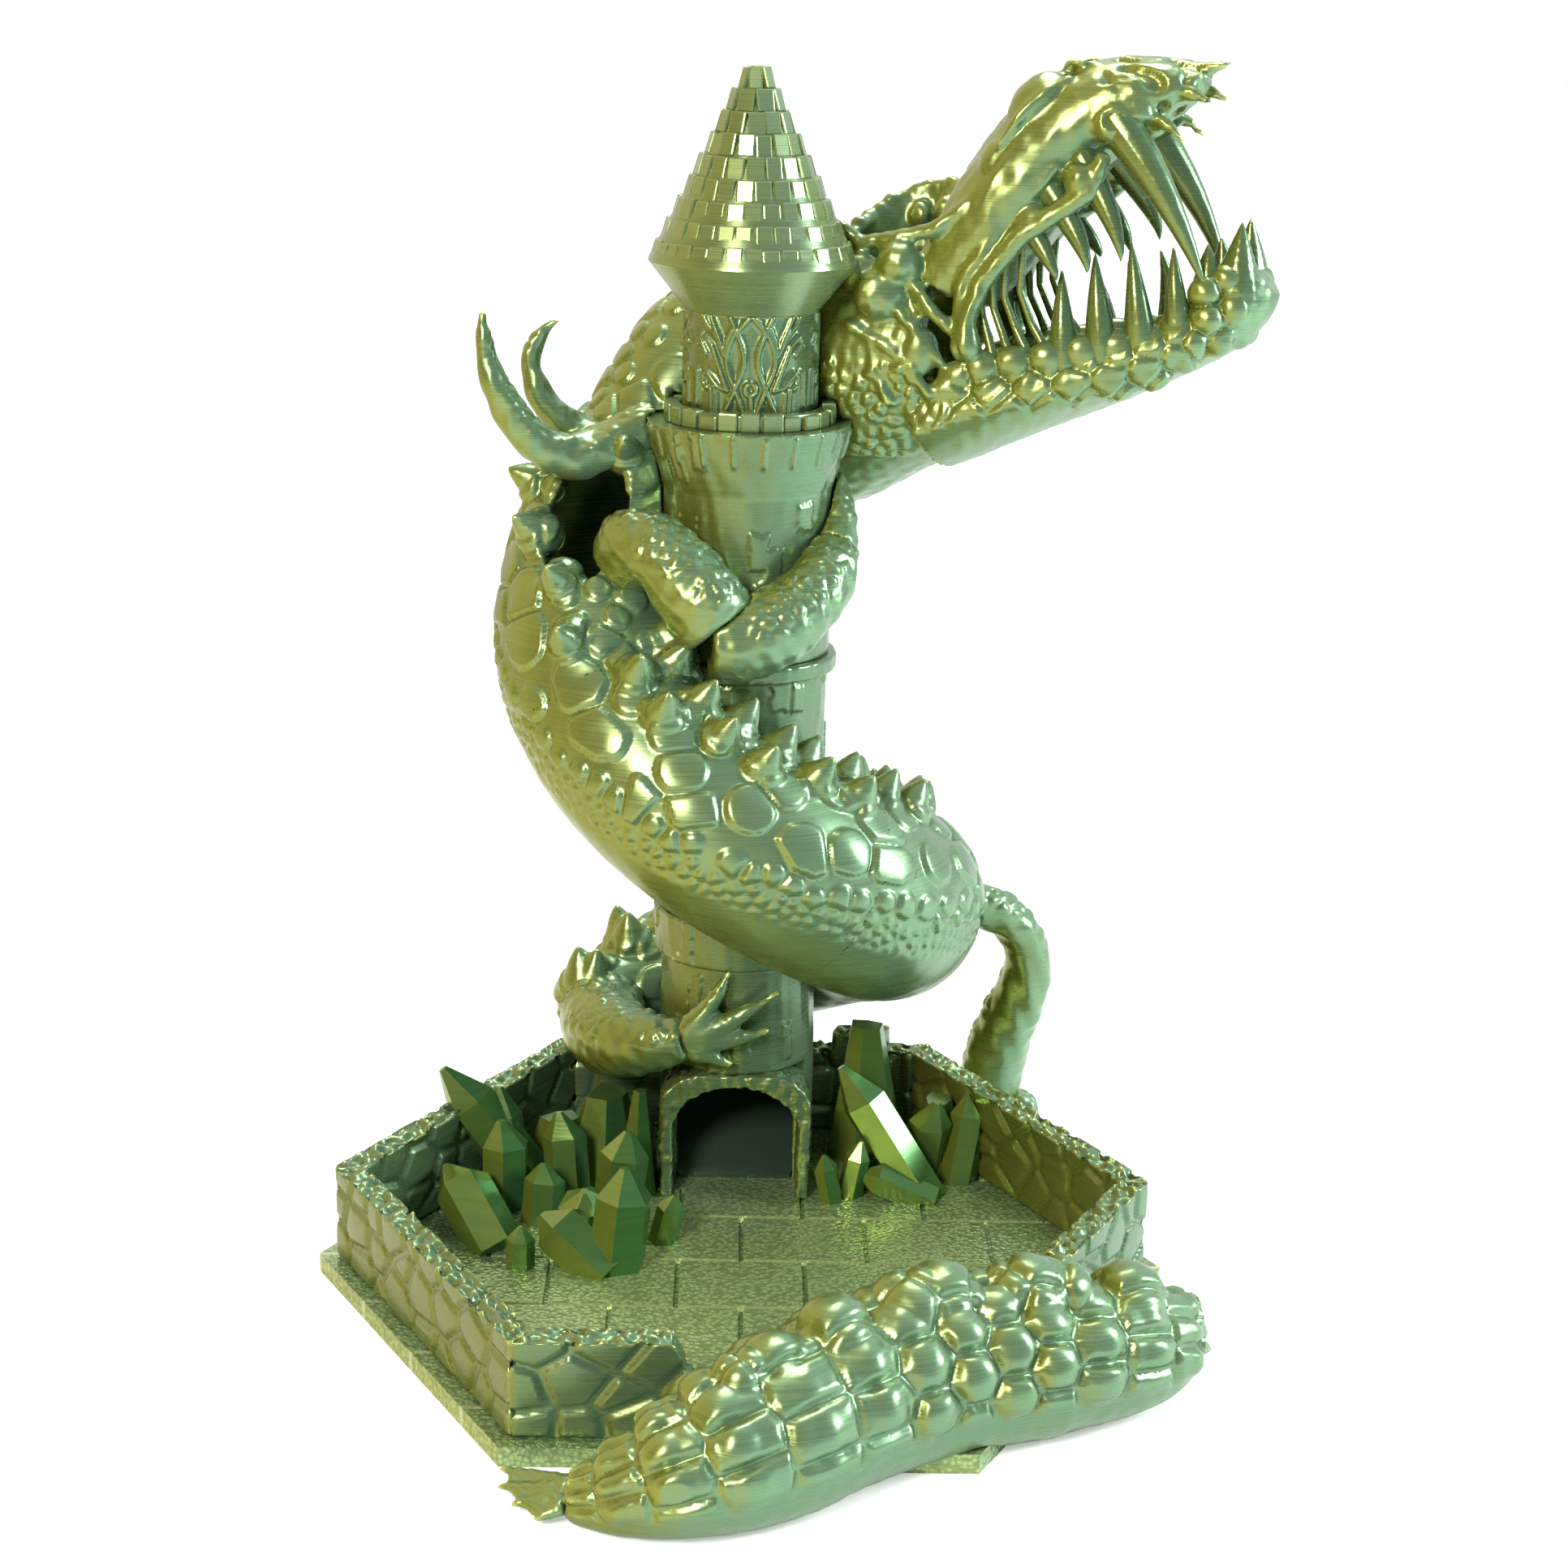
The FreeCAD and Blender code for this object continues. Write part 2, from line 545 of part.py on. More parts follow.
def tower_clearance():
    """The tower's outline, with the way up that the roof needs: the dragon is cut back to it."""
    gap = SLIDE_CLEARANCE
    wide = 2 * gap
    pieces = [
        drum(DRUM_RADIUS + gap, -gap, COLLAR_BOTTOM + gap),
        drum(COLLAR_RADIUS + gap, COLLAR_BOTTOM - gap, COLLAR_HEIGHT + wide),
        drum(MIDDLE_DRUM_RADIUS + gap, MIDDLE_BOTTOM, MIDDLE_DRUM_HEIGHT),
        drum(BAND_RADIUS + gap, BAND_BOTTOM - gap, BAND_HEIGHT + wide),
        drum(UPPER_DRUM_RADIUS + gap, UPPER_BOTTOM, UPPER_DRUM_HEIGHT),
        drum(UPPER_DRUM_RADIUS + gap, FLARE_BOTTOM, FLARE_HEIGHT + gap, FLARE_RADIUS + gap),
        drum(BATTLEMENT_RADIUS + gap, FLARE_TOP, BATTLEMENT_HEIGHT + gap),
        drum(CARVED_DRUM_RADIUS + wide, FLARE_TOP, CARVED_DRUM_HEIGHT),
        drum(CARVED_DRUM_RADIUS + wide, ROOF_BOTTOM - wide, ROOF_UNDERSIDE_HEIGHT,
             ROOF_EAVES_RADIUS + wide),
        drum(ROOF_EAVES_RADIUS + wide, EAVES - wide, 4 * ROOF_CONE_HEIGHT),
    ]
    return pieces[0].multiFuse(pieces[1:])


def peek_hole():
    """The long opening on the back between the shoulders."""
    centre, radius, along, normal = ridge_frame(COIL["shoulders"], PEEK_HOLE_SHARE)
    outline = ring(centre, normal, PEEK_HOLE_WIDTH / 2, PEEK_HOLE_LENGTH / 2, along)
    return Part.Face(outline).extrude(normal * (2 * radius))


def body_skins():
    """The outer solids of the stretches, with a small gap round them, for cutting what sits on them."""
    tubes = [coil_tube(stations, JOINT_GAP) for stations in COIL.values()]
    return tubes[0].multiFuse(tubes[1:])


# ---- dragon head ---------------------------------------------------------------------------------
# The head's own directions: forward from the neck, near side, and up.
HEAD_ORIGIN = TOWER + V(0, HEAD_BEHIND, DRAGON_LEVEL)
FORWARD = V(math.cos(math.radians(HEAD_TURN)), math.sin(math.radians(HEAD_TURN)), 0)
NEAR = FORWARD.cross(UP)


def head_point(forward, near, height):
    return HEAD_ORIGIN + FORWARD * forward + NEAR * near + UP * height


def head_limb(stations):
    """A solid through (forward, near, height, half width, half height)."""
    return limb([(head_point(*s[:3]), s[3], s[4]) for s in stations])


THROAT = [
    (26, 0, 141.5, 24, 33.5), (38, 0, 144.5, 25, 31.5), (50, 0, 147.5, 24.5, 27.5),
]
THROAT_BORE = [
    (26, 0, 140.5, 19.5, 27), (38, 0, 141.5, 19.5, 25), (52, 0, 144.5, 17.5, 20),
    (70, 0, 150.5, 15, 15),
]
UPPER_JAW = [
    (52, 0, 164.5, 21.5, 11), (60, 0, 176, 21.5, 13), (69, 0, 188.5, 20.5, 13.5),
    (80, 0, 201.5, 18, 12.5), (92, 0, 208, 15.5, 9.5), (102, 0, 211, 12, 6.5), (109, 0, 214, 6.5, 2.5),
]
LOWER_JAW = [
    (49, 0, 131.5, 24, 13), (60, 0, 136, 24, 12.5), (75, 0, 141.5, 22.5, 11), (92, 0, 147.5, 20, 9.5),
    (106, 0, 153.5, 17, 8.5), (118, 0, 160.5, 12.5, 8), (127, 0, 168, 5, 3.5),
]
JAW_TROUGH_WALL = 5.0
JAW_TROUGH_RISE = 0.55      # how high the trough's middle is, as a share of the jaw's half height
# Teeth: (forward, near, height) of the root, the bend and the tip, and the radius at the root.
FANG = ((91, 12, 203.5), (105, 14.5, 185.5), (114.5, 13, 166.5), 3.6)
UPPER_TEETH = [
    ((84, 13, 194.5), (92.5, 16.5, 181.5), (95.5, 17.5, 172.5), 2.9),
    ((77, 14, 187.5), (85.5, 17.5, 176.5), (88, 18.5, 169.5), 2.7),
    ((71, 15, 181.5), (78.5, 18.5, 172.5), (81, 19, 167.5), 2.3),
]
LOWER_TEETH = [
    ((83.5, 17, 149.5), (82.5, 17.5, 159.5), (81.3, 15, 169.5), 2.7),
    ((92, 15.5, 151.5), (90.5, 16.5, 162.5), (88.6, 14, 173.5), 2.9),
    ((100.5, 13.5, 153.5), (99, 15, 164.5), (96.5, 12.5, 176.5), 2.9),
    ((108.5, 11.5, 157.5), (107.5, 13, 166.5), (106, 10.5, 175.5), 2.5),
]
CHIN_SPIKES = [
    ((114, 8, 161.5), (114, 9, 170.5), (113.5, 8, 178.5), 3),
    ((121, 5.5, 165.5), (121.5, 6.5, 173.5), (120.5, 5.5, 181.5), 3.2),
]


def tooth(root, bend, tip, radius):
    middle = tuple((a + b) / 2 for a, b in zip(root, bend))
    return round_limb([(head_point(*root), radius), (head_point(*middle), radius * 0.92),
                       (head_point(*bend), radius * 0.72), (head_point(*tip), 0.35)])


def mirrored(tooth_row):
    """Teeth of the near side followed by the same on the far side."""
    far = [tuple((p[0], -p[1], p[2]) for p in entry[:3]) + entry[3:] for entry in tooth_row]
    return list(tooth_row) + far


def make_throat(clearance):
    first = COIL["neck_back"][0]
    outer = Part.makeLoft([coil_ring(first)] + [
        ring(head_point(*s[:3]), FORWARD * -1, s[3], s[4]) for s in THROAT], True, False)
    bore = Part.makeLoft([coil_ring(first, -SKIN, 2.0)] + [
        ring(head_point(*s[:3]), FORWARD * -1, s[3], s[4]) for s in THROAT_BORE], True, False)
    return outer, outer.cut(bore).cut(funnel_cone(-FUNNEL_WALL, FUNNEL_REACH)).cut(clearance)


def funnel_cone(grow, reach=0.0):
    """The outside of the funnel behind the eyes, or its inside when grow is minus its wall.

    reach carries it on below its bottom, to open the skin under it.
    """
    rings = []
    for height, share in ((FUNNEL_BOTTOM - reach, FUNNEL_TAPER), (FUNNEL_FAR_TOP, 1.0)):
        half_length = FUNNEL_LENGTH / 2 * share + grow
        half_width = FUNNEL_WIDTH / 2 * share + grow
        middle = head_point(FUNNEL_MIDDLE, 0, height - DRAGON_LEVEL)
        rings.append(ring(middle, UP, half_width, half_length, FORWARD))
    return Part.makeLoft(rings, True, False)


def make_funnel(clearance, below):
    """The raised rim of the funnel: higher on the far side, with a row of small points."""
    shell = funnel_cone(0).cut(funnel_cone(-FUNNEL_WALL))
    slope = (FUNNEL_NEAR_TOP - FUNNEL_FAR_TOP) / FUNNEL_WIDTH
    top_middle = (FUNNEL_NEAR_TOP + FUNNEL_FAR_TOP) / 2 - DRAGON_LEVEL
    reach = FUNNEL_LENGTH * 2
    corners = []
    for near, height in ((-reach, 0), (reach, 0), (reach, 3 * reach), (-reach, 3 * reach)):
        corners.append(head_point(FUNNEL_MIDDLE - reach, near, top_middle + slope * near + height))
    lid = Part.Face(Part.makePolygon(corners + corners[:1])).extrude(FORWARD * (2 * reach))
    rim = shell.cut(lid)
    points = []
    for i in range(FUNNEL_TEETH):
        turn = 2 * math.pi * (i + 0.5) / FUNNEL_TEETH
        near = (FUNNEL_WIDTH - FUNNEL_WALL) / 2 * math.sin(turn)
        forward = FUNNEL_MIDDLE + (FUNNEL_LENGTH - FUNNEL_WALL) / 2 * math.cos(turn)
        foot = head_point(forward, near, top_middle + slope * near)
        points.append(spike(foot, UP, FUNNEL_TOOTH_RADIUS, FUNNEL_TOOTH_HEIGHT, SPIKE_SINK))
    return largest(rim.multiFuse(points).cut(below).cut(clearance))


def make_upper_jaw(throat, funnel_outside, clearance):
    jaw = head_limb(UPPER_JAW)
    return largest(jaw.cut(throat).cut(funnel_outside).cut(clearance))


def make_lower_jaw(throat):
    """The lower jaw: a trough that slopes down into the throat."""
    jaw = head_limb(LOWER_JAW)
    trough = []
    for forward, near, height, half_width, half_height in LOWER_JAW[:-1]:
        lift = half_height * JAW_TROUGH_RISE + SKIN
        trough.append((forward, near, height + lift, half_width - JAW_TROUGH_WALL, half_height))
    forward, near, height, half_width, half_height = trough[0]
    trough.insert(0, (forward - JAW_TROUGH_WALL, near, height - SKIN, half_width, half_height))
    return largest(jaw.cut(head_limb(trough)).cut(throat))


# ---- limbs, tail and horns -----------------------------------------------------------------------
# Stations of limbs: (x, y, height above the dragon's level) and radius.
SHOULDER_HORNS = [
    [
        ((-24, 62, 128.5), 6.5), ((-36, 57, 123.5), 6.5), ((-48, 52, 123.5), 5.2),
        ((-57, 50, 131.5), 4.2), ((-63, 50, 143.5), 3), ((-64.5, 50, 156.5), 0.8),
    ],
    [
        ((-28, 66, 128.5), 5), ((-40, 64, 125.5), 4.6), ((-49, 62, 131.5), 3.6),
        ((-54, 62, 141.5), 2.8), ((-48, 62, 153.5), 0.7),
    ],
]
UPPER_ARM = [
    ((-32, 43, 94.5), 8), ((-24, 33, 104.5), 8.8), ((-16, 27, 98.5), 9.5), ((-8, 25, 88.5), 9.5),
]
FOREARM = [
    ((-10, 25, 85.5), 9), ((-2, 26, 85.5), 9.8), ((8, 29.5, 90), 9), ((15, 35, 96.5), 7.8),
    ((18.5, 44, 103.5), 5.6),
]
HAND = [
    ((18.5, 44, 103.5), 5.6), ((19.5, 50, 109.5), 4.4), ((19, 54, 116.5), 3), ((18, 55, 122.5), 0.8),
]
THIGH = [
    ((-36, 71, -23.5), 10.5), ((-36, 61, -24.5), 11), ((-32, 49, -23.5), 10), ((-24, 38, -20.5), 7.5),
    ((-14, 33, -17), 5.2),
]
TOES = [
    [((-16, 34, -17.5), 4.5), ((-9, 32.5, -8.5), 2.4), ((-4, 33, 0.5), 0.6)],
    [((-16, 34, -17.5), 4.5), ((-3, 32, -11.5), 2.4), ((8, 33.5, -4.5), 0.6)],
    [((-16, 34, -17.5), 4.5), ((-4, 32, -16.5), 2.4), ((6, 33, -14.5), 0.6)],
    [((-16, 34, -17.5), 4.5), ((-9, 32, -21), 2.2), ((-3.5, 32.5, -23.5), 0.6)],
]
# The prop leg reaches from the body to the table, so its heights are shares of the way up.
PROP_LEG = [
    ((50, 62, 1), 6.5), ((60, 65, 0.983), 5.6), ((69, 68, 0.864), 5.4), ((72.5, 71, 0.661), 6.2),
    ((69.5, 74, 0.441), 7.2), ((66, 77, 0.203), 8), ((65, 80, 0), 7.5),
]
PROP_FOOT = [((65, 80, 14), 7.5), ((66, 81, 7), 7.0), ((67, 81, 0), 6.5)]
PROP_CLAWS = [[((67, 78, 9), 5.0), ((74, 76, 13), 3.2), ((78, 75, 7), 0.6)],
              [((68, 83, 8), 5.0), ((75, 84, 10), 3.2), ((79, 84, 4), 0.6)]]
TAIL = {
    "tail_root": [
        ((100, -47, 8), 3.5), ((95, -50, 11), 9.5), ((86.5, -55.5, 13.5), 13.5), ((76, -60.5, 15), 15.5),
        ((64, -65.5, 16), 17.2),
    ],
    "tail_middle": [
        ((64, -65.5, 16), 17.2), ((49.5, -70.5, 17), 18.0), ((32, -79, 17.5), 18.5), ((15, -92, 17), 18.0),
    ],
    "tail_tip": [
        ((15, -92, 17), 18.0), ((-1, -103.5, 15), 16.5), ((-13, -108.5, 12), 13.0),
        ((-25, -108.5, 7.5), 8.5), ((-34, -106, 4.5), 4.5),
    ],
}
# Knobs along the tail's top: share of the stretch, radius and height.
TAIL_KNOBS = {
    "tail_root": [(0.28, 5.0, 3.0), (0.62, 8.0, 5.0)],
    "tail_middle": [(0.12, 8.5, 6.0), (0.6, 8.5, 5.5)],
    "tail_tip": [(0.12, 6.5, 4.0)],
}
# Turns of the plates off the top, in steps of PLATE_TURN, for even and odd rows.
PLATE_ROWS = ((-2, -1, 0, 1, 2), (-2.5, -1.5, -0.5, 0.5, 1.5, 2.5))
FIN_RIBS = [(-49, -93, 3.5), (-49, -99, 2.8), (-46, -105, 2.5), (-41, -110, 2.2)]
FIN_HINGE = V(-28, -106, 6)

# Crystals: x, y, radius, length, lean off the vertical, azimuth of the lean.
CRYSTALS_LEFT = [
    (-52, -5, 3.4, 10, 0, 0), (-33, -5, 7.0, 19, 58, 150), (-29.5, -3, 7.0, 24, 6, 20),
    (-19, 10, 3.5, 12, 14, 0), (-59, 6, 7.0, 25, 60, 125), (-49, 20, 5.0, 14, 10, 60),
    (-58.5, 28, 6.0, 22, 4, 90), (-51, 38, 6.5, 40, 36, 180), (-57, 40, 4.5, 27, 8, 180),
    (-31, 26, 6.0, 21, 8, 0), (-43, 33, 5.5, 22, 10, 120), (-37, 12, 6.0, 15, 20, 250),
]
CRYSTALS_RIGHT = [
    (22.5, 34, 3.0, 13, 12, 200), (27, 37, 3.2, 15, 10, 340), (45, 40, 6.0, 38, 34, 165),
    (45, 36, 4.5, 17, 68, 175), (55, 48, 5.0, 22, 20, 60), (46, 52, 5.5, 21, 12, 300),
]
# Rocks: x, y, radius, share of it at the top, height, number of sides, turn.
ROCKS_LEFT = [
    (-34, 48, 12, 0.45, 22, 7, 10), (-25.5, 38, 5.5, 0.3, 27, 5, 40), (-46, 48, 9, 0.5, 15, 6, 0),
]
ROCKS_RIGHT = [
    (31, 62, 10, 0.4, 36, 6, 15), (50, 57, 10, 0.4, 18, 6, 50), (36, 48, 8, 0.4, 16, 5, 20),
]


def make_prop_leg():
    climb = DRAGON_LEVEL + PROP_HIP_RISE - PROP_ANKLE
    stations = [(V(x, y, PROP_ANKLE + climb * share), radius) for (x, y, share), radius in PROP_LEG]
    return round_limb(stations)


def tail_stations():
    joined = TAIL["tail_root"] + TAIL["tail_middle"][1:] + TAIL["tail_tip"][1:]
    points = [V(*s[0]) for s in joined]
    return [(p, s[1], t) for p, s, t in zip(points, joined, tangents(points))]


def dome(foot, outward, radius, height):
    """A low rounded boss: the cap of a ball that stands out of the skin at foot."""
    ball = (radius ** 2 + height ** 2) / (2 * height)
    return Part.makeSphere(ball, foot + outward * (height - ball))


def tail_piece(name):
    """One stretch of the tail with its cobbled plates, and blunt knobs along its top."""
    names = list(TAIL)
    first = sum(len(TAIL[n]) - 1 for n in names[:names.index(name)])
    stations = tail_stations()[first:first + len(TAIL[name])]
    tube = Part.makeLoft([ring(p, t, r, r) for p, r, t in stations], True, False)
    domes = []
    for share, radius, height in TAIL_KNOBS[name]:
        centre, size, along, normal = tail_frame(stations, share)
        domes.append(dome(centre + normal * size, normal, radius, height))
    length = sum((b[0] - a[0]).Length for a, b in zip(stations, stations[1:]))
    rows = round(length / PLATE_STEP)
    for row in range(rows):
        centre, size, along, normal = tail_frame(stations, (row + 0.5) / rows)
        share = min(1.0, size / TAIL_GIRTH)
        for turn in PLATE_ROWS[row % 2]:
            direction = FreeCAD.Rotation(along, turn * PLATE_TURN).multVec(normal)
            foot = centre + direction * (size - PLATE_SINK)
            domes.append(dome(foot, direction, PLATE_RADIUS * share, (PLATE_HEIGHT + PLATE_SINK) * share))
    return tube.multiFuse(domes)


def tail_frame(stations, share):
    """Centre, radius, tangent and upward normal at a share of one stretch of the tail."""
    place = share * (len(stations) - 1)
    index = min(int(place), len(stations) - 2)
    (p, r, t), (q, s, u) = stations[index], stations[index + 1]
    along = between(t, u, place - index)
    along = V(*along).normalize()
    normal = (UP - along * along.dot(UP)).normalize()
    return V(*between(p, q, place - index)), r + (s - r) * (place - index), along, normal


def make_fin():
    """The ribbed fan at the tail's tip: round ribs in a thin web."""
    ends = [V(*end) for end in FIN_RIBS]
    ribs = [round_limb([(FIN_HINGE, 3.0), ((FIN_HINGE + end) * 0.5, 1.9), (end, 0.6)]) for end in ends]
    webs = []
    for a, b in zip(ends, ends[1:]):
        inner = [FIN_HINGE, a * 0.9 + FIN_HINGE * 0.1, b * 0.9 + FIN_HINGE * 0.1]
        web = Part.Face(Part.makePolygon(inner + inner[:1])).extrude(UP * FIN_WEB)
        web.translate(UP * (-FIN_WEB / 2))
        webs.append(web)
    return ribs[0].multiFuse(ribs[1:] + webs)


def keepouts():
    """What the tail is cut back to: the slab, the walls, and everything under the table top."""
    reach = 3 * SLAB_CORNER_RADIUS
    table = Part.makeBox(2 * reach, 2 * reach, reach, V(-reach, -reach, -reach + JOINT_GAP))
    pieces = [prism(hexagon(SLAB_CORNER_RADIUS), 0, SLAB_TOP + JOINT_GAP, JOINT_GAP)]
    for side, start, end, height in WALLS_BY_TAIL:
        pieces.append(prism(wall_outline(side, start, end), 0, SLAB_TOP + height + JOINT_GAP, JOINT_GAP))
    return table.multiFuse(pieces)


def main():
    os.makedirs("parts", exist_ok=True)
    save("base_plate", make_base_plate())
    save("wall_left_front", make_wall(3))
    save("wall_front", make_front_wall())
    save("wall_right_front", make_wall(5, RIGHT_WALL_START_SHARE, 1.0))
    save("wall_right_back", make_wall(0))
    save("wall_back", make_back_wall())
    save("wall_left_back", make_wall(2))
    save("wall_corner_ruin", make_ruin())
    save("tower_base", make_tower_base())
    save("exit_archway", make_portal())
    save("exit_ramp", make_ramp())
    save("tower_collar", drum(COLLAR_RADIUS, COLLAR_BOTTOM, COLLAR_HEIGHT))
    save("tower_middle", drum(MIDDLE_DRUM_RADIUS, MIDDLE_BOTTOM, MIDDLE_DRUM_HEIGHT))
    save("tower_band", drum(BAND_RADIUS, BAND_BOTTOM, BAND_HEIGHT))
    save("tower_upper", make_upper_drum())
    save("battlement_ring", make_battlement())
    save("carved_drum", make_carved_drum())
    save("roof_cone", make_roof())

    clearance = tower_clearance()
    portal_room = archway_room()
    skins = body_skins()
    body = {}
    before = None
    for name, stations in COIL.items():
        outer = coil_tube(stations)
        count, inner_angle, outer_angle = SPIKES[name]
        if count:
            outer = outer.multiFuse(spike_rows(stations, count, inner_angle, outer_angle))
        hollow = stations[:BORE_END + 1] if name == "hips" else stations
        skin = outer.cut(coil_tube(hollow, -SKIN, 1.0)).cut(clearance)
        if name == "shoulders":
            skin = skin.cut(peek_hole())
        if name == "hips":
            skin = skin.cut(dice_window(WINDOW_TOP - HIPS_WINDOW_HEIGHT))
        if before:
            skin = skin.cut(before)
        body[name] = before = largest(skin)
        save(name, body[name])

    throat_outer, throat = make_throat(clearance)
    save("throat", largest(throat))
    funnel = make_funnel(clearance, throat_outer)
    save("funnel_rim", funnel)
    upper_jaw = make_upper_jaw(throat_outer, funnel_cone(0).fuse(funnel), clearance)
    lower_jaw = make_lower_jaw(throat_outer)
    save("upper_jaw", upper_jaw)
    save("lower_jaw", lower_jaw)
    for name, entry in zip(("fang_near", "fang_far"), mirrored([FANG])):
        save(name, largest(tooth(*entry).cut(upper_jaw)))
    save("upper_teeth", *[largest(tooth(*entry).cut(upper_jaw)) for entry in mirrored(UPPER_TEETH)])
    save("lower_teeth", *[largest(tooth(*entry).cut(lower_jaw)) for entry in mirrored(LOWER_TEETH)])
    save("chin_spikes", *[largest(tooth(*entry).cut(lower_jaw)) for entry in mirrored(CHIN_SPIKES)])

    horns = [dragon_limb(stations) for stations in SHOULDER_HORNS]
    torso = skins.multiFuse([body["shoulders"], body["torso_front"], clearance])
    upper_arm = dragon_limb(UPPER_ARM)
    arm = upper_arm.cut(torso)
    forearm = dragon_limb(FOREARM).cut(upper_arm).cut(torso)
    thigh = dragon_limb(THIGH)
    leg = make_prop_leg()
    save("shoulder_horns", largest(horns[0].fuse(horns[1]).cut(torso)))
    save("foreleg_upper", largest(arm))
    save("foreleg_lower", largest(forearm))
    save("foreleg_hand", largest(dragon_limb(HAND).cut(dragon_limb(FOREARM)).cut(clearance)))
    save("hind_thigh", largest(thigh.cut(skins).cut(body["hips"]).cut(clearance).cut(portal_room)))
    toes = [dragon_limb(t) for t in TOES]
    save("hind_toes", largest(toes[0].multiFuse(toes[1:]).cut(thigh).cut(clearance).cut(portal_room)))
    save("prop_leg", largest(leg.cut(skins).cut(body["torso_side"])))
    claws = [round_limb(c) for c in [PROP_FOOT] + PROP_CLAWS]
    save("prop_foot", largest(claws[0].multiFuse(claws[1:]).cut(leg).cut(keepouts())))

    room = keepouts()
    before = None
    for name in TAIL:
        piece = tail_piece(name).cut(room)
        if before:
            piece = piece.cut(before)
        before = largest(piece)
        save(name, before)
    save("tail_fin", largest(make_fin().cut(before).cut(room)))

    walls = []
    for side in range(4):
        walls.append(prism(wall_outline(side, 0, 1), 0, SLAB_TOP + WALL_HEIGHT + JOINT_GAP, JOINT_GAP))
    tower_foot = drum(DRUM_RADIUS + JOINT_GAP, 0, COLLAR_BOTTOM)
    room_for_dragon = tower_foot.multiFuse([portal_room, thigh] + walls)
    for name, crystals, rocks in (("crystals_left", CRYSTALS_LEFT, ROCKS_LEFT),
                                  ("crystals_right", CRYSTALS_RIGHT, ROCKS_RIGHT)):
        pieces = [crystal(*c) for c in crystals] + [boulder(*r) for r in rocks]
        save(name, *cluster(*pieces).cut(room_for_dragon).Solids)


main()
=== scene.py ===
# %% [markdown]
# # A dragon coiled round a dice tower
# The real object is a printed toy: a dragon winds round a castle tower that stands in a walled tray.
# Its solids come from the CAD model, and this lesson gives them their skin, stone and silky plastic.
# Everything is in metres in the CAD frame, so no piece has to be fitted by eye.

# %% Load the frame
import json
import math

import bmesh
import bpy
import numpy as np
from mathutils import Matrix, Vector
from mathutils.kdtree import KDTree

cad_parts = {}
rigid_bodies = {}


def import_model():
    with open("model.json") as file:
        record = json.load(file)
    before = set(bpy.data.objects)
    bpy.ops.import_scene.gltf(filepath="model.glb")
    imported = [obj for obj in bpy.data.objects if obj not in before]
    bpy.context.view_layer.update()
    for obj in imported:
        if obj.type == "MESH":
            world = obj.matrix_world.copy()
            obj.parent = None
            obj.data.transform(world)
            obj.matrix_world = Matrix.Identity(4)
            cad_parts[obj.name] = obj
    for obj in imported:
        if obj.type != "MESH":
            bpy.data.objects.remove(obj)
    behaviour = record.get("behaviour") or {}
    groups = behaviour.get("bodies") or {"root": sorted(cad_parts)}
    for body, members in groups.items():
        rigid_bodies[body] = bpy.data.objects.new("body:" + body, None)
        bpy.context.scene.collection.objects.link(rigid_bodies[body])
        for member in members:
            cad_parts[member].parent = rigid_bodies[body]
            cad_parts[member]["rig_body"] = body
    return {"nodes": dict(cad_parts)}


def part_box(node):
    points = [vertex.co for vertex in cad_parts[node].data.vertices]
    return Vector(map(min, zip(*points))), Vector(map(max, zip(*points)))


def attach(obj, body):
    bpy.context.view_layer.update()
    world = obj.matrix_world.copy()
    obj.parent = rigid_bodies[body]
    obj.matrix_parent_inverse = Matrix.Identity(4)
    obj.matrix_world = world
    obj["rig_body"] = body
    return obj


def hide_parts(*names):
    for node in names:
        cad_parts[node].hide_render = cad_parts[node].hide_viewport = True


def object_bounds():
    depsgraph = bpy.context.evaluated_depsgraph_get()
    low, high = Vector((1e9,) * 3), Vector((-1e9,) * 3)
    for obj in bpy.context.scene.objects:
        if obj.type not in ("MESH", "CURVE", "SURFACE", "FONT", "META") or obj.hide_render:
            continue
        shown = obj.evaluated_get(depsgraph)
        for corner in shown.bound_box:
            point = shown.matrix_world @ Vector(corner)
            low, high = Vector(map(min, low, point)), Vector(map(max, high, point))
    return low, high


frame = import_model()

CAD_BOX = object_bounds()
NODES = frame["nodes"]
BODY_OF = {node: ob["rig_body"] for node, ob in NODES.items()}
MM = 0.001


def add_object(name, data):
    """A new object in the scene."""
    made = bpy.data.objects.new(name, data)
    bpy.context.scene.collection.objects.link(made)
    return made


def levels(node):
    """The lowest and the highest height of a CAD node in mm."""
    return [corner[2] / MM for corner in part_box(node)]


print("CAD box in mm:", [[round(v / MM, 1) for v in corner] for corner in CAD_BOX])

# %% [markdown]
# ## The camera and the studio
# A long lens from a little above looks slightly down at the toy, as on a product table.
# The floor is pale and the backdrop white, and three large soft lamps give the long highlights
# that silky plastic shows.

# %% Camera
LENS_ON_WIDTH = 3351.6 / 1932
EYE = Vector((-3.3, -586.7, 300.0)) * MM
PITCH, YAW, ROLL = (math.radians(a) for a in (16.781, 1.038, 1.455))


def aim_camera():
    forward = Vector((math.sin(YAW) * math.cos(PITCH), math.cos(YAW) * math.cos(PITCH), -math.sin(PITCH)))
    right = forward.cross(Vector((0, 0, 1))).normalized()
    up = right.cross(forward)
    rolled_right = right * math.cos(ROLL) + up * math.sin(ROLL)
    rolled_up = up * math.cos(ROLL) - right * math.sin(ROLL)
    turn = Matrix((rolled_right, rolled_up, -forward)).transposed()
    return Matrix.Translation(EYE) @ turn.to_4x4()


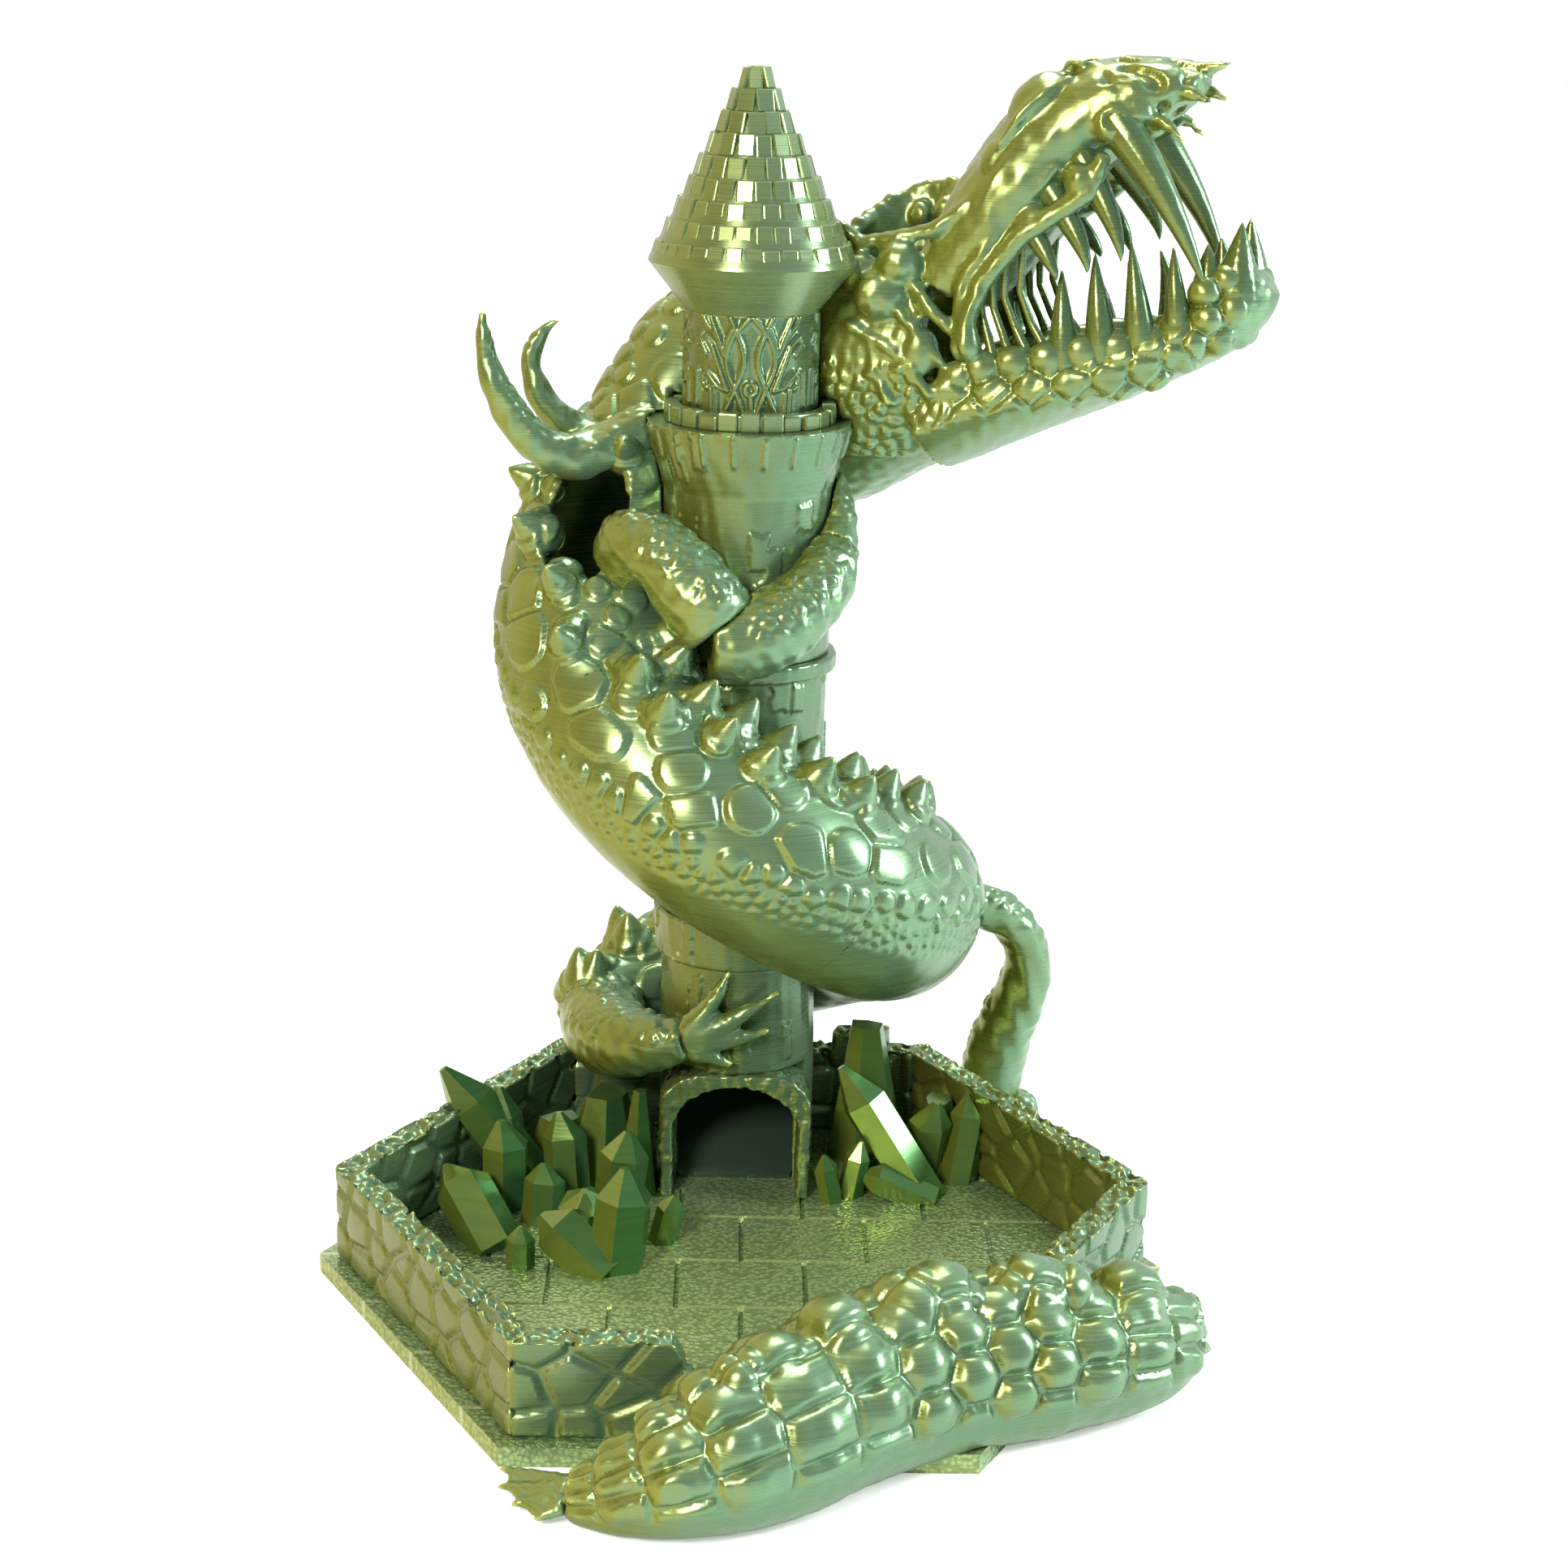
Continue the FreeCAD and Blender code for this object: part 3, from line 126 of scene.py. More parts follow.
lens = bpy.data.cameras.new("lens")
lens.sensor_width = 36.0
lens.lens = lens.sensor_width * LENS_ON_WIDTH
lens.clip_start = 0.01
camera = add_object("camera", lens)
camera.matrix_world = aim_camera()
bpy.context.scene.camera = camera
bpy.context.scene.view_settings.view_transform = "Standard"
print("lens in mm:", round(lens.lens, 2))

# %% Lamps and sky
LAMPS = {
    "key_left": ((-0.45, -0.95, 0.75), 0.32, 14.0),
    "rim_right": ((1.0, -0.05, 0.5), 0.35, 10.0),
    "top_back": ((0.1, 0.45, 1.1), 0.45, 8.0),
}


def hang_lamp(name, place, size, power):
    light = bpy.data.lights.new(name, "AREA")
    light.shape = "DISK"
    light.size = size
    light.energy = power
    lamp = add_object(name, light)
    lamp.location = place
    lamp.rotation_euler = (Vector((0, 0, 0.14)) - Vector(place)).to_track_quat("-Z", "Y").to_euler()


for lamp_name, (place, size, power) in LAMPS.items():
    hang_lamp(lamp_name, place, size, power)
print(len(LAMPS), "lamps")

# %% [markdown]
# ## Building node trees
# Sky, filament and floor are all made of nodes. A few short methods add a node, give it its values
# and link it in one line, so that the cells below read like sums instead of wiring.

# %% Short ways to add nodes
class Graph:
    """Adds nodes to one node tree. A value is a number, a colour or another node's socket."""

    def __init__(self, tree):
        self.nodes, self.links = tree.nodes, tree.links

    def join(self, sockets, values):
        for socket, value in zip(sockets, values):
            if isinstance(value, bpy.types.NodeSocket):
                self.links.new(value, socket)
            else:
                socket.default_value = value

    def put(self, node, values):
        """Sets or links a node's sockets by name."""
        self.join([node.inputs[name] for name in values], values.values())

    def add(self, kind, *values, **settings):
        """A new node with its settings, and with values for its first sockets."""
        node = self.nodes.new(kind)
        for key, value in settings.items():
            setattr(node, key, value)
        self.join(node.inputs, values)
        return node

    def math(self, operation, a, b, clamp=False):
        return self.add("ShaderNodeMath", a, b, operation=operation, use_clamp=clamp).outputs[0]

    def range(self, value, low, high, to_low=0.0, to_high=1.0):
        return self.add("ShaderNodeMapRange", value, low, high, to_low, to_high,
                        interpolation_type="SMOOTHSTEP").outputs[0]

    def mix(self, share, a, b, blend="MIX"):
        node = self.add("ShaderNodeMix", share, data_type="RGBA", blend_type=blend)
        self.join(node.inputs[6:8], (a, b))
        return node.outputs[2]

    def noise(self, vector, scale, detail):
        node = self.add("ShaderNodeTexNoise", vector)
        self.put(node, {"Scale": scale, "Detail": detail})
        return node.outputs["Fac"]

    def coordinates(self, kind):
        return self.add("ShaderNodeTexCoord").outputs[kind]


# %% [markdown]
# ## A white backdrop and a darker room
# A product on a table is seen against a white backdrop while the room in front of it is darker.
# Silky plastic mirrors both, so its forms get deep greens at the front and pale rims at the sides.
# Two lamps more would only add spots. A sky that is dimmer towards the front gives this softly.

# %% Sky
BACKDROP, ROOM, SKY_LIGHT = 1.0, 0.22, 0.72
sky = bpy.data.worlds.new("studio_sky")
sky.use_nodes = True
bpy.context.scene.world = sky
sky.node_tree.nodes.clear()


def paint_sky(g):
    rays = g.add("ShaderNodeLightPath").outputs
    axes = g.add("ShaderNodeSeparateXYZ", g.coordinates("Generated"))
    to_back = g.range(axes.outputs["Y"], -0.55, 0.25, ROOM, BACKDROP)
    mirrored = g.math("MAXIMUM", rays["Is Glossy Ray"], rays["Is Transmission Ray"])
    lighting = g.math("MULTIPLY", g.math("MAXIMUM", mirrored, SKY_LIGHT), to_back)
    strength = g.math("MAXIMUM", lighting, rays["Is Camera Ray"])
    background = g.add("ShaderNodeBackground", (1, 1, 1, 1), strength)
    g.add("ShaderNodeOutputWorld", background.outputs[0])


paint_sky(Graph(sky.node_tree))
print("sky:", BACKDROP, "behind,", ROOM, "in front")

# %% [markdown]
# ## Silky two-tone plastic
# The filament is drawn from two colours side by side, so walls that face left print golden and
# walls that face right print green. A picture could be painted on, but the real change follows the
# surface's own direction, so one node group mixes the two colours by the normal. It also gives the
# fine print layers and a little unevenness, and it paints in light and shade: a pale gold painted
# highlight where an edge stands out, partly the print's own pale tone, and painted shade in creases.

# %% Two-tone filament group
def make_filament_group():
    group = bpy.data.node_groups.new("two_tone_filament", "ShaderNodeTree")
    for side, sockets in (("INPUT", (("Left Colour", "Color"), ("Right Colour", "Color"), ("Edge Glint Colour", "Color"),
                                     ("Edge Glint Amount", "Float"), ("Base Roughness", "Float"))),
                          ("OUTPUT", (("Colour", "Color"), ("Roughness", "Float"), ("Height", "Float")))):
        for name, kind in sockets:
            group.interface.new_socket(name, in_out=side, socket_type="NodeSocket" + kind)
    g = Graph(group)
    given, out = g.add("NodeGroupInput").outputs, g.add("NodeGroupOutput")
    split = g.add("ShaderNodeSeparateXYZ", g.coordinates("Normal"))
    drift = g.range(g.noise(g.coordinates("Object"), 55.0, 3.0), 0.3, 0.7, -0.07, 0.07)
    share = g.range(g.math("ADD", split.outputs["X"], drift), -0.7, 0.45)
    colour = g.mix(share, given["Left Colour"], given["Right Colour"])
    flat = g.add("ShaderNodeMapping", g.coordinates("Object"))
    g.put(flat, {"Scale": (22, 22, 3600)})
    layers = g.noise(flat.outputs[0], 1.0, 2.0)
    streaked = g.mix(1.0, colour, g.range(layers, 0.3, 0.7, 0.94, 1.05), "MULTIPLY")
    pointed = g.add("ShaderNodeNewGeometry").outputs["Pointiness"]
    joint = g.add("ShaderNodeAttribute", attribute_name="joint")
    # Painted highlight: pale gold where an edge stands out, partly the print's own pale tone, left out beside joints.
    edge = g.math("MULTIPLY", g.range(pointed, 0.53, 0.62), given["Edge Glint Amount"])
    edge = g.math("SUBTRACT", edge, joint.outputs["Fac"], clamp=True)
    edge_glinted = g.mix(edge, streaked, given["Edge Glint Colour"])
    # Painted shade: the colour is darkened to less than half in creases and hollows, where pointiness is low.
    shaded = g.mix(1.0, edge_glinted, g.range(pointed, 0.38, 0.48, 0.45, 1.0), "MULTIPLY")
    rough = g.math("MULTIPLY", g.range(layers, 0.3, 0.7, 0.88, 1.16), given["Base Roughness"])
    g.join(out.inputs, (shaded, rough, layers))
    return group


FILAMENT = make_filament_group()
print(len(FILAMENT.nodes), "nodes in the filament group")


# %% [markdown]
# ## The finishes
# Every finish is the same filament with its own colours and gloss: scaly skin, masonry, tiles,
# polished teeth and crystals, and a floor of flagstones. Masonry and the ramp inside the tower
# are painted darker, as painted shade. The shader stays in each material.

# %% Finishes
def srgb(r, g, b):
    def linear(v):
        v /= 255
        return v / 12.92 if v <= 0.04045 else ((v + 0.055) / 1.055) ** 2.4
    return (linear(r), linear(g), linear(b), 1.0)


LAYER_DEPTH = 0.02 * MM


# The edge colour and its amount set the painted highlight on standing-out edges.
def silk(name, left, right, edge, rough, edge_glint_amount, metallic=0.6):
    material = bpy.data.materials.new(name)
    material.use_nodes = True
    g = Graph(material.node_tree)
    filament = g.add("ShaderNodeGroup", node_tree=FILAMENT)
    g.join(filament.inputs, (srgb(*left), srgb(*right), srgb(*edge), edge_glint_amount, rough))
    bump = g.add("ShaderNodeBump")
    g.put(bump, {"Strength": 0.5, "Distance": LAYER_DEPTH, "Height": filament.outputs["Height"]})
    g.put(g.nodes["Principled BSDF"], {
        "Metallic": metallic, "Anisotropic": 0.5, "Anisotropic Rotation": 0.25, "Normal": bump.outputs[0],
        "Base Color": filament.outputs["Colour"], "Roughness": filament.outputs["Roughness"]})
    return material


# The third colour of each finish is the pale gold of its painted edge highlight.
SKIN = silk("dragon_silk", (134, 134, 48), (112, 148, 112), (238, 240, 130), 0.29, 0.7)
# The masonry is the same filament, kept about a tenth darker than the skin: painted shade for the darker fronts of the
# drums.
STONE = silk("stone_silk", (120, 120, 48), (100, 134, 100), (226, 228, 126), 0.28, 0.5)
TOOTH = silk("tooth_silk", (118, 122, 50), (98, 134, 98), (222, 226, 134), 0.25, 0.3)
TILE = silk("tile_silk", (128, 132, 62), (118, 148, 112), (226, 228, 126), 0.28, 0.1)
CRYSTAL = silk("crystal_silk", (134, 142, 56), (70, 120, 68), (214, 222, 110), 0.22, 0.0)


def hammered(name, seed_scale, depth, dark):
    """The tile finish with a stipple of fine printed infill on it."""
    material = TILE.copy()
    material.name = name
    g = Graph(material.node_tree)
    shader = g.nodes["Principled BSDF"]
    plain, smooth = (shader.inputs[name].links[0].from_socket for name in ("Base Color", "Normal"))
    dots = g.add("ShaderNodeTexVoronoi", g.coordinates("Object"))
    g.put(dots, {"Scale": seed_scale})
    tone = g.range(dots.outputs["Distance"], 0.15, 0.75, 2.0, dark)
    dents = g.add("ShaderNodeBump", invert=True)
    g.put(dents, {"Strength": 0.8, "Distance": depth * MM, "Height": dots.outputs["Distance"], "Normal": smooth})
    g.put(shader, {"Base Color": g.mix(1.0, plain, tone, "MULTIPLY"), "Normal": dents.outputs[0]})
    return material


def pale_joints(material, spacing, half_width):
    """Lightens the joints between courses of flagstones, which catch the light."""
    g = Graph(material.node_tree)
    shader = g.nodes["Principled BSDF"]
    plain = shader.inputs["Base Color"].links[0].from_socket
    split = g.add("ShaderNodeSeparateXYZ", g.coordinates("Object"))
    off_joint = g.math("PINGPONG", split.outputs["Y"], spacing * MM / 2)
    line = g.range(off_joint, half_width * MM / 2, half_width * MM, 0.75, 0.0)
    g.put(shader, {"Base Color": g.mix(line, plain, srgb(212, 216, 160))})
    return material


PAVING = pale_joints(hammered("paving_silk", 900.0, 0.3, 1.1), 23.5, 0.9)
# Painted shade: the ramp inside the tower is the same filament, painted darker because it lies in shadow.
SHADED = silk("shaded_inner_silk", (84, 92, 70), (74, 96, 84), (150, 160, 90), 0.16, 0.0, metallic=0.7)

# %% [markdown]
# ## One living skin from many solids
# The dragon on the real toy has no seams between a spike and the back it grows from. Boolean joins
# would leave sharp creases, so each piece is a copy of its CAD solid, with lumps and cords of flesh
# added, and Remesh in voxel mode fuses all of that into one even skin, ready for relief.

# %% Fusing copies of solids
VOXEL = 0.7 * MM


def solid_copy(*nodes):
    """A bmesh with merged copies of CAD solids."""
    bm = bmesh.new()
    for node in nodes:
        bm.from_mesh(NODES[node].data)
    bmesh.ops.remove_doubles(bm, verts=bm.verts, dist=0.002 * MM)
    return bm


def add_lump(bm, place, radii):
    """A rounded lump: an icosphere stretched to radii in mm, at a place in metres."""
    shape = Matrix.Translation(place) @ Matrix.Diagonal((*[r * MM for r in radii], 1))
    bmesh.ops.create_icosphere(bm, subdivisions=3, radius=1.0, matrix=shape)


def add_cord(bm, stops):
    """A tapering cord through (place in metres, radius in mm)."""
    for (a, ra), (b, rb) in zip(stops, stops[1:]):
        span = b - a
        turn = span.to_track_quat("Z", "Y").to_matrix().to_4x4()
        middle = Matrix.Translation((a + b) / 2) @ turn
        bmesh.ops.create_cone(bm, cap_ends=True, segments=14, radius1=ra * MM, radius2=rb * MM,
                              depth=span.length, matrix=middle)
    for place, radius in stops:
        bmesh.ops.create_icosphere(bm, subdivisions=2, radius=radius * MM, matrix=Matrix.Translation(place))


def fused(bm, voxel=VOXEL):
    """The bmesh's shapes fused into one skin of even squares, as a mesh."""
    rough = bpy.data.meshes.new("rough")
    bm.to_mesh(rough)
    bm.free()
    holder = add_object("rough", rough)
    remesh = holder.modifiers.new("fuse", "REMESH")
    remesh.mode = "VOXEL"
    remesh.voxel_size = voxel
    remesh.use_smooth_shade = True
    ready = bpy.context.evaluated_depsgraph_get()
    mesh = bpy.data.meshes.new_from_object(holder.evaluated_get(ready))
    bpy.data.objects.remove(holder)
    bpy.data.meshes.remove(rough)
    return mesh


def smoothed(mesh, rounds):
    """Evens out voxel steps."""
    bm = bmesh.new()
    bm.from_mesh(mesh)
    for _ in range(rounds):
        bmesh.ops.smooth_vert(bm, verts=bm.verts[:], factor=0.5, use_axis_x=True, use_axis_y=True, use_axis_z=True)
    bm.to_mesh(mesh)
    bm.free()
    return mesh


def points_of(mesh):
    """Vertex places in mm and outward normals."""
    co = np.empty(len(mesh.vertices) * 3, np.float32)
    no = np.empty(len(mesh.vertices) * 3, np.float32)
    mesh.vertices.foreach_get("co", co)
    mesh.vertices.foreach_get("normal", no)
    return co.reshape(-1, 3).astype(float) / MM, no.reshape(-1, 3).astype(float)


BOX_LOW = np.array(CAD_BOX[0]) / MM + 0.02
BOX_HIGH = np.array(CAD_BOX[1]) / MM - 0.02


def pushed(mesh, places):
    """Moves the vertices to places in mm, never outside the CAD box."""
    inside = np.clip(places, BOX_LOW, BOX_HIGH) * MM
    mesh.vertices.foreach_set("co", inside.astype(np.float32).ravel())
    mesh.update()
    return mesh


def finished(mesh, name, body, finish, replaces=()):
    """Makes the piece, on its body, in its finish, standing for its CAD nodes."""
    mesh.name = name
    mesh.materials.clear()
    mesh.materials.append(finish)
    mesh.polygons.foreach_set("use_smooth", [True] * len(mesh.polygons))
    piece = add_object(name, mesh)
    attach(piece, body)
    if replaces:
        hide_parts(*replaces)
    print(f"{name}: {len(mesh.polygons)} faces")
    return piece


# %% [markdown]
# ## Plates, stones and pebbles
# Scutes on the back, stones in the walls and blisters on the neck share one build: rounded islands
# with a narrow groove between neighbours. A painted texture would look flat against the light, so
# seeds are scattered over the skin, each vertex finds its two nearest seeds, and its distance to the
# line halfway between them gives a real dome and a real groove.

# %% Seeds and islands
def scatter(places, spacing, seed):
    """Picks places no closer to each other than their own spacing in mm. Spacing 0 is left empty."""
    chance = np.random.default_rng(seed)
    order = chance.permutation(len(places))
    order = order[spacing[order] > 0][:24000]
    cell = max(float(spacing.max()), 0.5)
    grid, chosen = {}, []
    near = [(i, j, k) for i in (-1, 0, 1) for j in (-1, 0, 1) for k in (-1, 0, 1)]
    for index in order:
        p, gap = places[index], spacing[index]
        home = tuple(int(v // cell) for v in p)
        neighbours = [q for i, j, k in near for q in grid.get((home[0] + i, home[1] + j, home[2] + k), ())]
        if any((p[0] - q[0]) ** 2 + (p[1] - q[1]) ** 2 + (p[2] - q[2]) ** 2 < gap * gap for q in neighbours):
            continue
        grid.setdefault(home, []).append(p)
        chosen.append(index)
    return np.array(chosen, int)


def tree_of(points):
    """A tree that finds the nearest of some points fast."""
    tree = KDTree(len(points))
    for index, point in enumerate(points):
        tree.insert(point, index)
    tree.balance()
    return tree


def islands(places, seeds, sizes, rim=1.8, groove=0.35, rounded=False):
    """Height 0 to 1 of islands round the seeds, with 0 in the grooves; rounded ones end at their size."""
    tree = tree_of(seeds)
    found = [tree.find_n(p, 2) for p in places]
    first = np.array([f[0][1] for f in found])
    second = np.array([f[1][1] for f in found])
    d1 = np.array([f[0][2] for f in found])
    d2 = np.array([f[1][2] for f in found])
    apart = np.linalg.norm(seeds[first] - seeds[second], axis=1)
    edge = (d2 ** 2 - d1 ** 2) / (2 * apart)
    lift = np.clip((edge - groove) / rim, 0, 1)
    dome = 1 - 0.35 * np.clip(d1 / np.maximum(sizes[first], 0.1), 0, 1) ** 2
    if rounded:
        lift *= 1 - ease(d1 / sizes[first], 0.78, 1.0)
    return (1 - (1 - lift) ** 2.4) * dome, first


def ease(value, low, high):
    """0 below low, 1 above high, smooth between."""
    t = np.clip((value - low) / (high - low), 0, 1)
    return t * t * (3 - 2 * t)


def waves(places, scale, seed):
    """Soft, repeatable unevenness from -1 to 1, made of a few crossing waves."""
    chance = np.random.default_rng(seed)
    total = np.zeros(len(places))
    for _ in range(9):
        direction = chance.normal(size=3)
        direction *= chance.uniform(0.6, 1.7) / (np.linalg.norm(direction) * scale)
        total += np.sin(places @ direction * 2 * math.pi + chance.uniform(0, 6.28))
    return total / 4.0


# %% [markdown]
# ## Measuring along the coil
# To know where the back, the flank and the belly of a winding body are, each vertex needs its place
# along the body and its angle round it. The coil's middle line is known from the CAD sizes: its
# stations turn round the tower, so a smooth line through them gives both numbers for every vertex.

# %% The body's middle line
TOWER = np.array([*((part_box("tower_middle")[0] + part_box("tower_middle")[1]) / 2)[:2], 0]) / MM
COIL_REACH = 36.0
COIL_GIRTH = 24.5
# Turn round the tower in degrees, distance off COIL_REACH, height, and share of COIL_GIRTH.
COIL = [(-200, 0, 207, 0.94), (-180, -1, 208.5, 0.89), (-162, -3, 204, 0.82), (-146, -4, 195, 0.78),
        (-130, -3, 183, 0.82), (-110, -1, 166, 0.92), (-90, 0, 149.5, 0.97), (-60, 0, 129, 0.94),
        (-30, 0, 115, 0.91), (0, 0, 103, 0.93), (30, 0, 92.5, 0.97), (60, 0, 83.5, 1.0), (90, 0, 76, 1.0),
        (120, 0, 68, 0.98), (150, 0, 59, 0.94), (180, 0, 51.5, 0.87), (205, 1, 45.5, 0.67),
        (228, 3, 42, 0.53), (246, 5, 40.5, 0.45), (256, 5, 40, 0.2)]
TAIL = [(100, -47, 8, 3.5), (95, -50, 11, 9.5), (86.5, -55.5, 13.5, 13.5), (76, -60.5, 15, 15.5),
        (64, -65.5, 16, 17.2), (49.5, -70.5, 17, 18.0), (32, -79, 17.5, 18.5), (15, -92, 17, 18.0),
        (-1, -103.5, 15, 16.5), (-13, -108.5, 12, 13.0), (-25, -108.5, 7.5, 8.5), (-34, -106, 4.5, 4.5)]


def coil_stations():
    rows = []
    for turn, off, height, share in COIL:
        angle, reach = math.radians(turn), COIL_REACH + off
        rows.append((TOWER[0] + reach * math.sin(angle), TOWER[1] - reach * math.cos(angle), height,
                     COIL_GIRTH * share))
    return rows


def middle_line(stations, per_step=24):
    """Dense centres, radii, directions and upward normals of a body through its stations."""
    rows = np.array(stations, float)
    steps = np.arange(0, len(rows) - 1 + 1e-9, 1 / per_step)
    padded = np.vstack([2 * rows[0] - rows[1], rows, 2 * rows[-1] - rows[-2]])
    index = np.minimum(steps.astype(int), len(rows) - 2)
    t = (steps - index)[:, None]
    a, b, c, d = (padded[index + k] for k in range(4))
    line = 0.5 * (2 * b + (c - a) * t + (2 * a - 5 * b + 4 * c - d) * t ** 2 + (3 * b - a - 3 * c + d) * t ** 3)
    along = np.gradient(line[:, :3], axis=0)
    length = np.concatenate([[0], np.cumsum(np.linalg.norm(np.diff(line[:, :3], axis=0), axis=1))])
    along /= np.linalg.norm(along, axis=1)[:, None]
    up = np.array([0, 0, 1.0]) - along * along[:, 2:3]
    up /= np.linalg.norm(up, axis=1)[:, None]
    return line[:, :3], line[:, 3], along, up, length


def measure(places, line):
    """For each vertex: length along the body, angle off the back in degrees, and distance out of its girth."""
    centres, girths, along, up, length = line
    tree = tree_of(centres)
    nearest = np.array([tree.find(p)[1] for p in places])
    arm = places - centres[nearest]
    side = np.cross(along[nearest], up[nearest])
    across = np.einsum("ij,ij->i", arm, side)
    above = np.einsum("ij,ij->i", arm, up[nearest])
    angle = np.degrees(np.arctan2(across, above))
    return length[nearest], angle, np.hypot(across, above) - girths[nearest]


COIL_LINE = middle_line(coil_stations())
TAIL_LINE = middle_line(TAIL)
print("body length along the coil in mm:", round(COIL_LINE[4][-1]))

# %% [markdown]
# ## The coiled body
# The back carries two rows of fleshy fins, the outer flank has large rounded plates, below them
# comes a band of pebbles, and the belly is smooth. The five stretches of the body are fused as one
# skin, so that plates run on across their joints, and only then is the skin shared out again.

# %% Back, flank and belly
BODY_NODES = ("neck_back", "shoulders", "torso_front", "torso_side", "hips")


def tower_side(places, normals):
    """1 where the skin faces the tower, which it must not touch, and 0 elsewhere."""
    inward = places[:, :2] - TOWER[:2]
    distance = np.linalg.norm(inward, axis=1)
    facing = np.einsum("ij,ij->i", normals[:, :2], inward / distance[:, None])
    return ease(-facing, 0.55, 0.8) * ease(27.0 - distance, 0, 2)


def fin_tips(node):
    """Tips of the CAD fins on one stretch, found as its points farthest out of the body's girth."""
    places = np.array([v.co for v in NODES[node].data.vertices]) / MM
    out = measure(places, COIL_LINE)[2]
    tips = []
    for index in np.argsort(-out):
        if out[index] < 5.5:
            break
        if all(np.linalg.norm(places[index] - tip) > 5 for tip in tips):
            tips.append(places[index])
    return tips


def add_fin(bm, tip):
    """A fin: thin at its tip and broad at its foot."""
    centres = COIL_LINE[0]
    root = centres[np.argmin(np.linalg.norm(centres - tip, axis=1))]
    inward = Vector(root - tip).normalized()
    tip = Vector(tip)
    stops = [(0.2, 1.0), (2.5, 2.4), (5.0, 3.8), (7.5, 5.0), (9.5, 6.0)]
    add_cord(bm, [((tip + inward * depth) * MM, radius) for depth, radius in stops])


def body_spacing(angle, out):
    """Spacing of the seeds in mm: fine by the ridge, coarse on the flank, pebbles below it."""
    flank = np.abs(angle)
    spacing = np.select([flank < 14, flank < 30, flank < 84, flank < 97, flank < 118],
                        [6.0, 8.5, 11.0, 5.0, 2.6], 0.0)
    return np.where(out > -1.2, spacing, 0.0)


def make_body():
    bm = solid_copy(*BODY_NODES)
    for node in BODY_NODES:
        for tip in fin_tips(node):
            add_fin(bm, tip)
    mesh = smoothed(fused(bm, VOXEL * 1.05), 2)
    places, normals = points_of(mesh)
    _, angle, out = measure(places, COIL_LINE)
    flank = np.abs(angle)
    spacing = body_spacing(angle, out)
    picked = scatter(places, spacing, 11)
    chance = np.random.default_rng(12)
    sizes = spacing[picked] * np.where(chance.random(len(picked)) < 0.3, 0.58, 0.78)
    height, nearest = islands(places, places[picked], sizes, 1.1, 0.3, rounded=True)
    plate = np.interp(spacing[picked][nearest], (2.6, 5.0, 10.0), (0.5, 1.0, 1.4))
    free = ease(out, -1.6, -0.8) * (1 - tower_side(places, normals))
    fins = 1 - ease(out, 1.5, 3.0)
    lift = (height * plate - 0.4) * (1 - ease(flank, 108, 118)) * fins * free
    lift += 0.06 * waves(places, 7.0, 3) * free
    print(len(picked), "plates and pebbles on the body")
    return pushed(mesh, places + normals * lift[:, None])


def shared_out(mesh, nodes, line_of):
    """Gives each stretch its own faces of one skin, by their place along the body.

    The points beside a cut are marked as joint, so that no painted edge highlight falls there.
    """
    limits = [line_of(node) for node in nodes]
    whole = bmesh.new()
    whole.from_mesh(mesh)
    centres = np.array([f.calc_center_median() for f in whole.faces]) / MM
    along = measure(centres, COIL_LINE)[0]
    owner = np.searchsorted(np.array(limits[1:]), along)
    for index, node in enumerate(nodes):
        part = whole.copy()
        joint = part.verts.layers.float.new("joint")
        strangers = [f for f, o in zip(part.faces, owner) if o != index]
        bmesh.ops.delete(part, geom=strangers, context="FACES")
        rims = [e for e in part.edges if e.is_boundary]
        marked = {v for e in rims for v in e.verts}
        for _ in range(2):
            marked |= {e.other_vert(v) for v in marked for e in v.link_edges}
        for vert in marked:
            vert[joint] = 1.0
        for edge in rims:
            edge.smooth = False
        bmesh.ops.holes_fill(part, edges=rims, sides=0)
        skin = bpy.data.meshes.new(node)
        part.to_mesh(skin)
        part.free()
        finished(skin, node + "_skin", "tower_and_dragon", SKIN, (node,))
    whole.free()
    bpy.data.meshes.remove(mesh)


def stretch_start(node):
    """Length along the coil where a stretch begins."""
    starts = {"neck_back": -200, "shoulders": -130, "torso_front": -60, "torso_side": 30, "hips": 120}
    station = [row[0] for row in COIL].index(starts[node])
    return COIL_LINE[4][station * 24]


shared_out(make_body(), BODY_NODES, stretch_start)

# %% [markdown]
# ## Shared ways to sculpt
# The limbs, the horns, the fin and the arch differ only in the relief on their skin, so one helper
# fuses a node, smooths it and lifts the skin. A hand-made loop per piece
# would repeat the same ten lines twenty times.

# %% One sculpting helper
def sculpted(node, finish, relief, rounds=2, voxel=VOXEL):
    """A node fused and smoothed, then moved out by relief(places, normals) in mm."""
    mesh = smoothed(fused(solid_copy(node), voxel), rounds)
    places, normals = points_of(mesh)
    pushed(mesh, places + normals * relief(places, normals)[:, None])
    return finished(mesh, node + "_skin", BODY_OF[node], finish, (node,))


def plated(places, spacing, seed, tall, rim=1.8, groove=0.35):
    """Island relief in mm with its own scatter, where spacing is above 0."""
    picked = scatter(places, spacing, seed)
    if len(picked) < 3:
        return np.zeros(len(places))
    height, _ = islands(places, places[picked], spacing[picked] * 0.75, rim, groove)
    return (height * tall) * (spacing > 0)


# %% [markdown]
# ## The head
# The real head has a bulging cheek, round bosses where the teeth sit, tendons that run down to the
# jaw's joint, and a light, knobbly snout. A single block would need hard hand sculpting. Fusing
# lumps and cords, placed in the head's own directions, gives the same forms and stays easy to edit.

